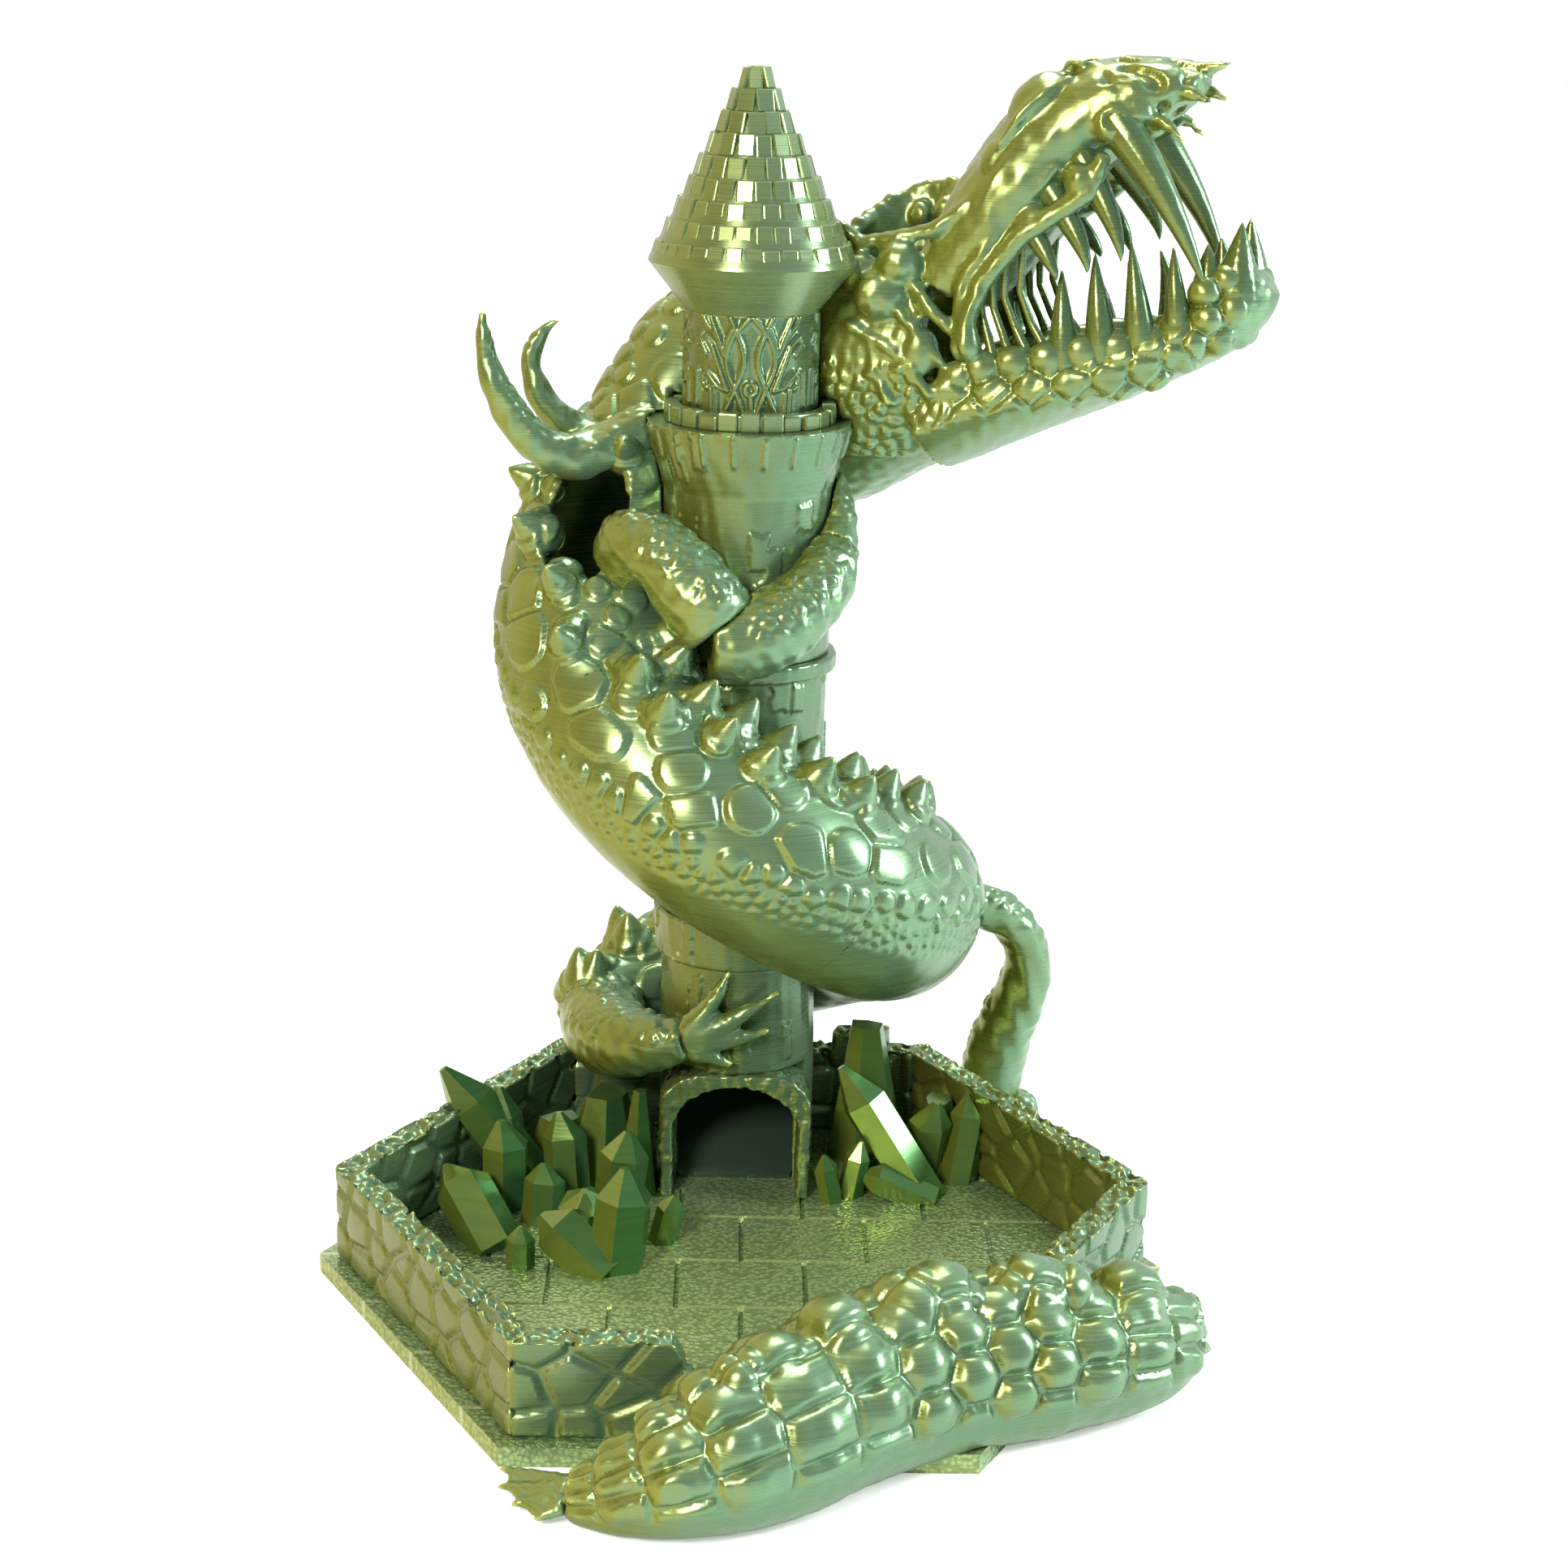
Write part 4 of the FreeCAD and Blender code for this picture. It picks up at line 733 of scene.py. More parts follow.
# %% The head's own directions
HEAD_TURN = math.radians(-20)
HEAD_ORIGIN = Vector((TOWER[0], TOWER[1] + 34, 0)) * MM
FORWARD = Vector((math.cos(HEAD_TURN), math.sin(HEAD_TURN), 0))
NEAR = FORWARD.cross(Vector((0, 0, 1)))


def head(forward, near, height):
    """A place in metres from distances in mm along the head, towards the viewer and up."""
    return HEAD_ORIGIN + (FORWARD * forward + NEAR * near + Vector((0, 0, height))) * MM


def both_sides(places):
    """Places as (forward, near, height), on the near side and then on the far side."""
    return places + [(f, -n, z) for f, n, z in places]


def head_lumps(rows):
    """Lumps on both sides, from rows of ((forward, near, height), radii)."""
    return [(head(f, side * n, z), radii) for side in (1, -1) for (f, n, z), radii in rows]


def head_cords(rows):
    """Cords on both sides; each row is a list of (forward, near, height, radius)."""
    return [[(head(f, side * n, z), r) for f, n, z, r in row] for row in rows for side in (1, -1)]


def head_places(places):
    """Vertex places in mm as forward, near and height."""
    local = places - np.array(HEAD_ORIGIN) / MM
    return local @ np.array(FORWARD), local @ np.array(NEAR), local[:, 2]


# %% Upper jaw and snout
SKULL_LUMPS = [
    ((75, 9, 266), (10, 8, 12)), ((91, 14, 267), (4.8, 4.2, 4.6)), ((85, 16, 254.5), (4.4, 4.0, 4.2)),
    ((75, 17, 245), (4.2, 3.8, 3.6)), ((61, 22.5, 216), (3.6, 2.6, 3.6)), ((96, 12, 270), (4, 3, 3.2)),
    ((101, 8, 275), (4, 3, 2.6)), ((88, 3, 278.6), (3.2, 3, 2.4)), ((94, 4, 279), (3, 2.6, 2.2)),
    ((100, 4, 279), (3, 2.6, 2.0)), ((66, 14, 255), (6, 5, 8)),
]
SKULL_CORDS = [
    [(68, 18, 258, 1.6), (64, 18.8, 251, 2.0), (61, 19.4, 243, 1.9), (59, 20, 235, 1.4)],
    [(67, 19.2, 244, 1.3), (63, 20, 236.5, 2.0), (59, 20.8, 230, 1.9), (58.6, 21.5, 223, 1.3)],
    [(75.5, 17, 260, 1.2), (79, 17, 257.5, 1.4), (75, 17.8, 252, 1.4), (71, 18.4, 248, 1.1)],
    [(89.6, 16.5, 259, 2.2), (87, 17.2, 252, 2.4), (80, 18, 247, 2.6), (72, 19, 241.5, 2.6), (64, 20.5, 231, 2.4),
     (61, 22, 222, 2.4), (61, 22.5, 216, 3.0)],
    [(86, 10, 277, 1.3), (92.6, 10.5, 271, 1.5), (99, 9.5, 276.5, 1.6), (104, 7.5, 277, 1.2)],
    [(96.6, 2, 280, 1.4), (102.6, 2.5, 279.8, 1.6), (108, 2, 279, 1.4), (104, 5, 276, 1.4)],
    [(92, 12, 262, 2.0), (96.5, 10, 264, 2.2), (101, 8, 266, 1.2)],
    [(84, 7, 279.4, 1.4), (92, 9, 276.5, 1.3), (98, 9, 272, 1.6)],
    [(103, 3, 278, 2.4), (109, 2.6, 279.4, 1.5), (114, 2.4, 280.8, 0.5)],
    [(102, 7.5, 275, 2.2), (108.5, 8.5, 274, 1.5), (113, 9, 272, 0.4)],
    [(99, 10, 269, 1.9), (104, 11.5, 266.5, 1.3), (107.5, 12.5, 263.5, 0.4)],
    [(66, 18, 262, 1.0), (70, 17.5, 268, 1.4), (75, 15, 273, 1.5), (80, 12, 276.5, 1.0)],
    [(84, 15, 271, 1.0), (79, 17, 266, 1.4), (76, 18, 259.5, 1.4), (70, 19, 254, 1.2), (66, 20, 246, 1.0)],
]
NOSTRIL = (81, 6, 278.5)
RING = [((NOSTRIL[0] + 3.0 * math.cos(a), NOSTRIL[1] + 2.4 * math.sin(a), NOSTRIL[2] + 1.6 * math.sin(a)),
         (1.3, 1.2, 1.2)) for a in np.linspace(0, 2 * math.pi, 11)[:-1]]


def skull_relief(places, normals):
    forward, near, height = head_places(places)
    lift = 0.2 * waves(places, 7.0, 5) + 0.15 * waves(places, 3.2, 6) * ease(forward, 82, 92)
    pit = np.exp(-((forward - NOSTRIL[0]) ** 2 + (np.abs(near) - NOSTRIL[1]) ** 2) / 3.5) * ease(height, 274, 277)
    holes = ease(waves(places, 8.0, 8), 0.35, 0.8) * ease(forward, 86, 90) * ease(height, 264, 268)
    return lift - 2.4 * pit - 1.6 * holes


# %% Throat, cheek and neck skin
THROAT_LUMPS = [((44, 21.5, 234), (5.4, 4.6, 5.0)), ((40, 22.5, 226.5), (6.6, 4.2, 6.0)), ((34.5, 21, 231), (5, 4, 5)),
                ((50, 22, 214), (4.5, 3, 6))]
THROAT_CORDS = [
    [(33, 23.5, 219, 1.4), (41, 24.2, 215.5, 1.3), (47, 24, 212, 1.5), (53, 23.5, 204, 1.2)],
    [(38, 24, 216, 1.0), (40, 24.6, 208, 1.2), (44, 24.4, 202, 1.0)],
    [(58, 22, 219, 1.6), (52, 22.5, 224, 1.8), (47, 21.5, 230, 1.4)],
    [(55, 22.5, 212, 1.2), (49, 23.5, 219, 1.4), (44, 23.8, 224, 1.2)],
    [(28, 20, 242, 1.5), (34, 20, 238, 1.8), (42, 20.5, 239.5, 1.8), (52, 20, 242, 1.8), (59, 19, 248, 1.5)],
]


def throat_relief(places, normals):
    forward, near, height = head_places(places)
    side = ease(np.abs(near), 12, 18)
    spacing = np.where((height > 188) & (height < 211) & (np.abs(near) > 14) & (forward < 56), 2.7, 0.0)
    pebbles = plated(places, spacing, 21, 0.8, 1.0, 0.2) * side
    return pebbles * ease(waves(places, 11, 22), -0.7, 0.1) + 0.2 * waves(places, 5, 23)


# %% Lower jaw with its gum plates
GUM_UPPER = [(58.7, 22.2, 208.6), (64.9, 22, 211), (72, 21.6, 212.6), (80, 20.8, 214), (88, 19.6, 216),
             (95.5, 18, 217.5), (102.5, 16, 219), (108.5, 13.5, 221)]
GUM_LOWER = [(58, 23, 205), (67.7, 22.4, 206), (77, 21.6, 207.6), (86, 20.6, 208.5), (95, 18.8, 209.5),
             (102.5, 16.6, 212), (109, 14, 216)]
CHIN_PLATES = [(114, 11.5, 230.5), (118.5, 9, 233.5), (115, 12, 224.5), (120.5, 9, 227), (117.5, 9.5, 219.5),
               (123.5, 6, 232), (124, 4, 226), (112, 13, 219), (121, 4, 220.5)]
GUM_FOOT = [(62, 23, 200.5), (72, 22, 201.5), (82, 21, 202.5), (91, 19.5, 203.5), (99.5, 17, 205.5),
            (106.5, 14.5, 208.5)]
JAW_LUMPS = ([((f, n - 2.4, z), (4.8, 3.0, 3.6)) for f, n, z in GUM_UPPER]
             + [((f, n - 2.4, z), (5.6, 2.8, 4.4)) for f, n, z in GUM_LOWER]
             + [(p, (3.6, 3.0, 3.6)) for p in CHIN_PLATES])
GUM_SEEDS = np.array([head(*p) for p in both_sides(GUM_UPPER + GUM_LOWER + GUM_FOOT + CHIN_PLATES)]) / MM


def jaw_relief(places, normals):
    forward, near, height = head_places(places)
    belly = ease(-normals[:, 2], 0.1, 0.5)
    spacing = np.where((forward < 80) & (height < 203) & (normals[:, 2] > -0.6), 2.6, 0.0)
    pebbles = plated(places, spacing, 31, 0.5, 1.0, 0.2) * (1 - belly)
    plates, _ = islands(places, GUM_SEEDS, np.full(len(GUM_SEEDS), 9.0), 0.9, 0.2)
    gum = ease(forward, 57, 61) * ease(np.abs(near), 8, 11) * ease(height, 199, 202 + 0.1 * (forward - 60))
    return pebbles * (1 - gum) + (1.1 * plates - 0.5) * gum + 0.12 * waves(places, 6, 32)


# %% Funnel rim
def funnel_top(forward, near):
    """Height in mm of the funnel's cut edge: it falls towards the viewer and the tower."""
    return 245 - 0.43 * near + 0.27 * (forward - 58)


def rim_lumps(count, start, end, wobble, radii):
    """Lumps along the funnel's rim between two turns, from the near side over the far side."""
    lumps = []
    for i in range(count):
        turn = math.radians(start + (end - start) * i / (count - 1))
        near, forward = -19.2 * math.cos(turn), 39 + 15.6 * math.sin(turn)
        lumps.append((head(forward, near, funnel_top(forward, near) + wobble * math.sin(i * 2.4)), radii))
    return lumps


FUNNEL_LUMPS = rim_lumps(19, -100, 100, 0.4, (2.4, 2.0, 2.2)) + rim_lumps(9, 120, 240, 0.5, (2.2, 1.8, 1.8))
FUNNEL_LUMPS += [(head(45, -14, 243), (3.4, 3.0, 4.2)), (head(38, -15, 242), (2.6, 2.4, 3.4))]


# %% Fold of skin where the neck meets the throat
def neck_fold(count=44):
    """Lumps round the joint between neck and throat, left out where the tower stands close."""
    centre, girth, along, up = (COIL_LINE[k][0] for k in range(4))
    side = np.cross(along, up)
    lumps = []
    for turn in np.linspace(0, 2 * math.pi, count, endpoint=False):
        place = centre + (up * math.cos(turn) + side * math.sin(turn)) * (girth - 0.9)
        if math.dist(place[:2], TOWER[:2]) > 28:
            lumps.append((Vector(place) * MM, (2.6, 2.6, 2.2)))
    return lumps


# %% Sculpting the head in one skin
HEAD_NODES = ("throat", "funnel_rim", "upper_jaw", "lower_jaw")


def head_relief(places, normals):
    forward, near, height = head_places(places)
    jaw_line = 199 + 0.26 * (forward - 49) + 14
    upper = ease(height, 228, 236) * ease(forward, 50, 54)
    lower = (1 - ease(height - jaw_line, 0, 6)) * ease(forward, 47, 52)
    other = np.clip(1 - upper - lower, 0, 1)
    return (skull_relief(places, normals) * upper + jaw_relief(places, normals) * lower
            + throat_relief(places, normals) * other)


def trim_funnel(bm):
    """Cuts the upright funnel off along its slanting edge and closes the cut."""
    first, second, third = (head(f, n, funnel_top(f, n)) for f, n in ((20, 0), (56, 0), (39, 20)))
    normal = (second - first).cross(third - first)
    bmesh.ops.bisect_plane(bm, geom=bm.verts[:] + bm.edges[:] + bm.faces[:], plane_co=first,
                           plane_no=normal if normal.z > 0 else -normal, clear_outer=True)
    bmesh.ops.holes_fill(bm, edges=[e for e in bm.edges if e.is_boundary], sides=0)


def make_head():
    bm = solid_copy("funnel_rim")
    trim_funnel(bm)
    for node in HEAD_NODES:
        if node != "funnel_rim":
            bm.from_mesh(NODES[node].data)
    bmesh.ops.remove_doubles(bm, verts=bm.verts, dist=0.002 * MM)
    for place, radii in (head_lumps(SKULL_LUMPS + RING + THROAT_LUMPS + JAW_LUMPS) + FUNNEL_LUMPS
                         + neck_fold()):
        add_lump(bm, place, radii)
    for stops in head_cords(SKULL_CORDS + THROAT_CORDS):
        add_cord(bm, stops)
    mesh = smoothed(fused(bm, VOXEL * 1.08), 1)
    places, normals = points_of(mesh)
    free = 1 - tower_side(places, normals)
    pushed(mesh, places + normals * (head_relief(places, normals) * free)[:, None])
    finished(mesh, "head_skin", "tower_and_dragon", SKIN, HEAD_NODES)


make_head()

# %% Sinews between the jaws
SINEWS = [
    [(72, 15.5, 241, 1.1), (71.7, 15.5, 228.6, 0.9), (75, 15.5, 221, 1.0), (79.8, 16.5, 214, 1.4)],
    [(67.9, 16.5, 238, 1.1), (68.4, 16.5, 226.8, 0.9), (71.5, 17, 220, 1.0), (75.7, 18, 213, 1.4)],
    [(64.7, 17.5, 236, 1.2), (66, 17, 224.2, 0.9), (68.5, 18, 219, 1.0), (71.5, 18.5, 212, 1.3)],
    [(61.6, 18, 232, 1.2), (63.6, 17.5, 222.4, 0.9), (67.3, 19, 212, 1.4)],
    [(60, 18.5, 228, 1.2), (61.2, 18, 219.9, 1.0), (63.9, 19.5, 211, 1.4)],
]


def make_sinews():
    bm = bmesh.new()
    for stops in head_cords(SINEWS):
        add_cord(bm, stops)
    mesh = smoothed(fused(bm, VOXEL * 0.6), 1)
    finished(mesh, "jaw_sinews", "tower_and_dragon", SKIN)


make_sinews()

# %% Teeth
# Each row: root, bend and tip as (forward, near, height), and the radius at the root.
FANG = ((91, 12, 268), (105, 14.5, 250), (114.5, 13, 231), 4.2)
UPPER_TEETH = [((84, 13, 259), (92.5, 16.5, 246), (95.5, 17.5, 237), 3.0),
               ((77, 14, 252), (85.5, 17.5, 241), (88, 18.5, 234), 2.8),
               ((71, 15, 246), (78.5, 18.5, 237), (81, 19, 232), 2.4)]
LOWER_TEETH = [((83.5, 17, 213), (82.5, 17.5, 224), (81.3, 15, 234), 3.2),
               ((92, 15.5, 215), (90.5, 16.5, 227), (88.6, 14, 238), 3.4),
               ((100.5, 13.5, 217), (99, 15, 229), (96.5, 12.5, 241), 3.4),
               ((108.5, 11.5, 221), (107.5, 13, 231), (106, 10.5, 240), 2.8)]
CHIN_SPIKES = [((114, 8, 226), (114, 9, 234), (113.5, 8, 241), 4.2),
               ((120, 5.5, 229), (120.5, 6.5, 237), (120.5, 5.5, 246), 5.4)]


def add_tooth(bm, row, side, slip=0.0, drop=0.0):
    """A curved tooth: slip moves it forward and drop lowers its tip."""
    root, bend, tip, radius = row
    a, b, c = (Vector(p) for p in (root, bend, tip))
    stops = []
    for t in np.linspace(0, 1, 9):
        place = a * (1 - t) ** 2 + (b * 2 - (a + c) / 2) * 2 * t * (1 - t) + c * t ** 2
        size = radius * 1.12 * (1 - t ** 1.25) + 0.35
        stops.append((head(place[0] + slip, side * place[1], place[2] - drop * t), size))
    add_cord(bm, stops)


def make_teeth(name, rows, sides, node_names, slip=0.0, drop=0.0):
    bm = bmesh.new()
    for row in rows:
        for side in sides:
            add_tooth(bm, row, side, slip * (side < 0), drop * (side < 0))
    mesh = smoothed(fused(bm, VOXEL * 0.6), 2)
    finished(mesh, name, "tower_and_dragon", TOOTH, node_names)


make_teeth("fang_near_tooth", [FANG], (1,), ("fang_near",))
make_teeth("fang_far_tooth", [FANG], (-1,), ("fang_far",))
make_teeth("upper_row", UPPER_TEETH, (1, -1), ("upper_teeth",), 1.5, -2.0)
make_teeth("lower_row", LOWER_TEETH, (1, -1), ("lower_teeth",), 1.8, 4.0)
make_teeth("chin_row", CHIN_SPIKES, (1, -1), ("chin_spikes",))

# %% [markdown]
# ## Arms, horns, legs and tail
# Arms and legs are muscles under rough skin: pebbles on the side that faces up, smooth below. The
# tail carries the biggest plates of all, swollen like cobbles, with five great knobs on top.

# %% Limbs
def limb_relief(seed, size, tall):
    def relief(places, normals):
        free = 1 - tower_side(places, normals)
        upward = ease(normals[:, 2], 0.0, 0.4) * ease(waves(places, 14, seed + 1), -0.6, 0.2)
        spacing = np.where(normals[:, 2] > -0.1, size, 0.0)
        return (plated(places, spacing, seed, tall, 1.0, 0.2) * upward + 0.3 * waves(places, 7, seed)) * free
    return relief


for number, node in enumerate(("foreleg_upper", "foreleg_lower", "foreleg_hand", "shoulder_horns", "hind_thigh",
                               "hind_toes", "prop_leg", "prop_foot")):
    small = node in ("shoulder_horns", "foreleg_hand", "hind_toes")
    size, tall = (2.4, 0.35) if small else (3.0, 0.55)
    sculpted(node, SKIN, limb_relief(50 + number * 3, size, tall))

# %% Tail
TAIL_NODES = ("tail_root", "tail_middle", "tail_tip")
PLATE_STEP, PLATE_TURN = 11.0, 34.0
BUMPS = [(0.13, 6.5), (0.26, 8.0), (0.43, 8.5), (0.6, 8.0), (0.74, 6.0)]  # share of the tail, reach in mm
TAIL_SPANS = ((0, 4), (4, 7), (7, 11))  # first and last station of each stretch


def tail_seeds():
    """Middles of the tail's plates: staggered rows along each stretch, fanned round its top."""
    centres, girths, along, up, _ = TAIL_LINE
    chance = np.random.default_rng(71)
    seeds, sizes = [], []
    for first, last in TAIL_SPANS:
        chord = sum(math.dist(TAIL[i][:3], TAIL[i + 1][:3]) for i in range(first, last))
        rows = round(chord / PLATE_STEP)
        for row in range(rows):
            index = round((first + (row + 0.5) / rows * (last - first)) * 24)
            side = np.cross(along[index], up[index])
            for turn in ((-3, -2, -1, 0, 1, 2, 3), (-2.5, -1.5, -0.5, 0.5, 1.5, 2.5))[row % 2]:
                angle = math.radians(turn * PLATE_TURN + chance.uniform(-4, 4))
                arm = up[index] * math.cos(angle) - side * math.sin(angle)
                seeds.append(centres[index] + arm * girths[index])
                sizes.append(8.0 * min(1.0, girths[index] / 16.0))
    return np.array(seeds), np.array(sizes)


def tail_relief(places):
    _, angle, out = measure(places, TAIL_LINE)
    seeds, sizes = tail_seeds()
    height, _ = islands(places, seeds, sizes, 2.2, 0.35)
    flank = np.abs(angle)
    return (height * 1.7 - 0.8) * (1 - ease(flank, 92, 108)) + 0.1 * waves(places, 6, 72)


def make_tail():
    bm = solid_copy(*TAIL_NODES)
    centres, girths, along, up, length = TAIL_LINE
    for share, reach in BUMPS:
        index = int(np.searchsorted(length, share * length[-1]))
        place = centres[index] + up[index] * (girths[index] - 1.0)
        add_lump(bm, Vector(place) * MM, (reach, reach, reach * 0.8))
    mesh = smoothed(fused(bm), 2)
    places, normals = points_of(mesh)
    pushed(mesh, places + normals * tail_relief(places)[:, None])
    finished(mesh, "tail_skin", "tray", SKIN, TAIL_NODES)


make_tail()
sculpted("tail_fin", SKIN, lambda p, n: 0.15 * waves(p, 3, 75), rounds=1)

# %% [markdown]
# ## Walls of field stones
# The tray's walls are rounded stones in shallow mortar, with a rough, broken top. The stones are the
# same islands as the scutes, only larger and flatter, and the top edge is shaken up and down.

# %% Walls
WALLS = ("wall_left_front", "wall_front", "wall_right_front", "wall_right_back", "wall_back", "wall_left_back",
         "wall_corner_ruin")


def wall_relief(places, normals):
    upright = 1 - ease(np.abs(normals[:, 2]), 0.4, 0.8)
    spacing = np.where(np.abs(normals[:, 2]) < 0.5, 11.0, 0.0)
    stones = plated(places * np.array([1, 1, 1.25]), spacing, 81, 1.1, 1.0, 0.75) - 0.7
    return stones * upright


def shaken_top(places, normals):
    top = ease(normals[:, 2], 0.3, 0.8) * ease(places[:, 2], 12, 16)
    return top * (1.1 * waves(places, 5.0, 82) + 0.15 * waves(places, 2.4, 83) - 0.9)


for node in WALLS:
    mesh = smoothed(fused(solid_copy(node)), 1)
    places, normals = points_of(mesh)
    lift = wall_relief(places, normals)
    moved = places + normals * lift[:, None] + np.array([0, 0, 1.0]) * shaken_top(places, normals)[:, None]
    pushed(mesh, moved)
    finished(mesh, node + "_stones", "tray", STONE, (node,))

# %% [markdown]
# ## Tower drums with raised stones
# The tower's drums are smooth, with a few tall stones that stand out a hair from the plaster. Cutting
# every stone as an object would be slow to edit. Instead each drum is fused finely, and a stone is
# a place where the skin is lifted by almost half a millimetre inside a wobbly rectangle.

# %% Raised stones
def round_tower(places):
    """Distance round the tower in mm at its own radius, and the height."""
    arm = places[:, :2] - TOWER[:2]
    radius = np.linalg.norm(arm, axis=1)
    return np.arctan2(arm[:, 0], -arm[:, 1]), radius, places[:, 2]


def raised_stones(places, seed, count, low, high):
    """Relief in mm of scattered upright stones between two heights."""
    chance = np.random.default_rng(seed)
    turn, radius, height = round_tower(places)
    wobble = 0.5 * waves(places, 2.6, seed)
    lift = np.zeros(len(places))
    for _ in range(count):
        middle, level = chance.uniform(-math.pi, math.pi), chance.uniform(low, high)
        wide, tall = chance.uniform(3.0, 5.5), chance.uniform(6.0, 13.0)
        across = np.abs((turn - middle + math.pi) % (2 * math.pi) - math.pi) * radius
        outside = np.maximum(across - wide / 2, np.abs(height - level) - tall / 2) + wobble
        lift = np.maximum(lift, 0.45 * (1 - ease(outside, -0.4, 0.2)) * ease(radius, 16, 18))
    return lift


def flare_lines(places):
    """Thin upright ribs under the parapet."""
    turn, radius, height = round_tower(places)
    rib = np.abs((turn * 20 / (2 * math.pi)) % 1 - 0.5) * 2 * math.pi * radius / 20
    high = levels("tower_upper")[1]
    band = ease(height, high - 9, high - 7) * (1 - ease(height, high - 1.2, high - 0.6))
    return 0.6 * (1 - ease(rib, 0.2, 0.8)) * band


for number, node in enumerate(("tower_base", "tower_collar", "tower_middle", "tower_band", "tower_upper")):
    low, high = levels(node)
    mesh = smoothed(fused(solid_copy(node), VOXEL * 0.7), 1)
    places, normals = points_of(mesh)
    sideways = 1 - ease(np.abs(normals[:, 2]), 0.75, 0.95)
    stones = raised_stones(places, 90 + number, int((high - low) / 2.2), low, high)
    lift = (stones + 0.12 * waves(places * np.array([1, 1, 0.3]), 5.0, 95 + number)) * sideways - 0.15 * sideways
    if node == "tower_upper":
        lift += flare_lines(places)
    pushed(mesh, places + normals * lift[:, None])
    finished(mesh, node + "_plaster", BODY_OF[node], STONE, (node,))

# %% [markdown]
# ## Carved lantern drum
# Under the roof a band of leaves and pointed ovals is carved in low relief. The same ornament
# repeats three times round the drum. Each line is a short path in millimetres on the unrolled drum,
# and the skin rises in a soft ribbon near the paths.

# %% Ornament paths
LENS_PATHS = [
    [(-3.6 - 2.2 * math.sin(math.pi * t), 6.5 + 13 * t) for t in np.linspace(0, 1, 14)],
    [(-3.6 + 2.0 * math.sin(math.pi * t), 6.5 + 13 * t) for t in np.linspace(0, 1, 14)],
]
STRAPS = [
    [(-3.4, 19.3), (-2.0, 21.0), (0, 23.2)], [(-3.4, 19.3), (-5.8, 24.5)], [(-3.6, 6.4), (-1.3, 0)],
    [(-3.6, 6.4), (-5.0, 3.0), (-6.4, 0)], [(-6.5, 14), (-8.5, 18), (-11.5, 21), (-13.5, 24.5)],
    [(-6.5, 14), (-7.5, 17), (-9, 20), (-10.8, 24)], [(-6.3, 14), (-5.8, 17), (-4.6, 20)],
    [(-5.8, 6.5), (-7.5, 10.5), (-9.8, 16), (-12.5, 18), (-14, 16)], [(-11.3, 14), (-13, 16.5)],
    [(-5.5, 6), (-8, 6.5), (-10, 8.5), (-11.5, 9.6), (-12.6, 8.5), (-12.2, 6.8), (-11, 6.2)],
    [(-9.9, 6), (-9.6, 0.5)], [(-8.4, 5.2), (-8.2, 0.5)], [(-14.2, 9.6), (-14.6, 2)],
]
KNOT = [[(1.3 * math.sin(a), 6.2 + 1.4 * math.cos(a)) for a in np.linspace(0.6, 5.7, 12)], [(0, 4.6), (0.2, 1)]]


def along_path(path, step=0.25):
    """Points every step mm along a path."""
    points = []
    for a, b in zip(path, path[1:]):
        count = max(int(math.dist(a, b) / step), 1)
        points += [(a[0] + (b[0] - a[0]) * i / count, a[1] + (b[1] - a[1]) * i / count) for i in range(count)]
    return points + [path[-1]]


def ornament_tree():
    mirrored_paths = [[(-u, v) for u, v in path] for path in LENS_PATHS + STRAPS]
    paths = LENS_PATHS + STRAPS + mirrored_paths + KNOT
    return tree_of([(u, v, 0) for path in paths for u, v in along_path(path)])


# %% Carving the drum
CARVED_FOOT = levels("battlement_ring")[1] - 2.0


def carved_relief(places):
    tree = ornament_tree()
    turn, radius, height = round_tower(places)
    period = 2 * math.pi / 3
    u = ((turn + period / 2) % period - period / 2) * 15.8
    v = height - CARVED_FOOT
    distance = np.array([tree.find((a, b, 0))[2] for a, b in zip(u, v)])
    ribbon = 0.85 * (1 - ease(distance, 0.3, 0.75)) + 0.25 * (1 - ease(distance, 0.9, 1.4))
    return (ribbon - 0.8) * ease(radius, 15.0, 15.5)


def make_carved_drum():
    mesh = smoothed(fused(solid_copy("carved_drum"), (0.32) * MM), 1)
    places, normals = points_of(mesh)
    upright = 1 - ease(np.abs(normals[:, 2]), 0.4, 0.7)
    pushed(mesh, places + normals * (carved_relief(places) * upright)[:, None])
    finished(mesh, "carved_drum_relief", "roof", STONE, ("carved_drum",))


make_carved_drum()

# %% [markdown]
# ## Shingled roof and parapet blocks
# The roof is nine courses of little upright tiles, each with a rounded top edge and a ledge above
# it. An array modifier can't narrow from course to course, so the tiles are placed in a loop: each
# is a cube of a few faces, turned to its place, and all edges are bevelled once at the end.

# %% Roof
ROOF_LOW, ROOF_HIGH = levels("roof_cone")
ROOF_EAVES = ROOF_LOW + 11.0
EAVES_RADIUS, TIP_RADIUS, NECK_RADIUS = 24.5, 2.2, 15.8
COURSES = 9


def cone_radius(height):
    share = (height - ROOF_EAVES) / (ROOF_HIGH - ROOF_EAVES)
    return EAVES_RADIUS + (TIP_RADIUS - EAVES_RADIUS) * share


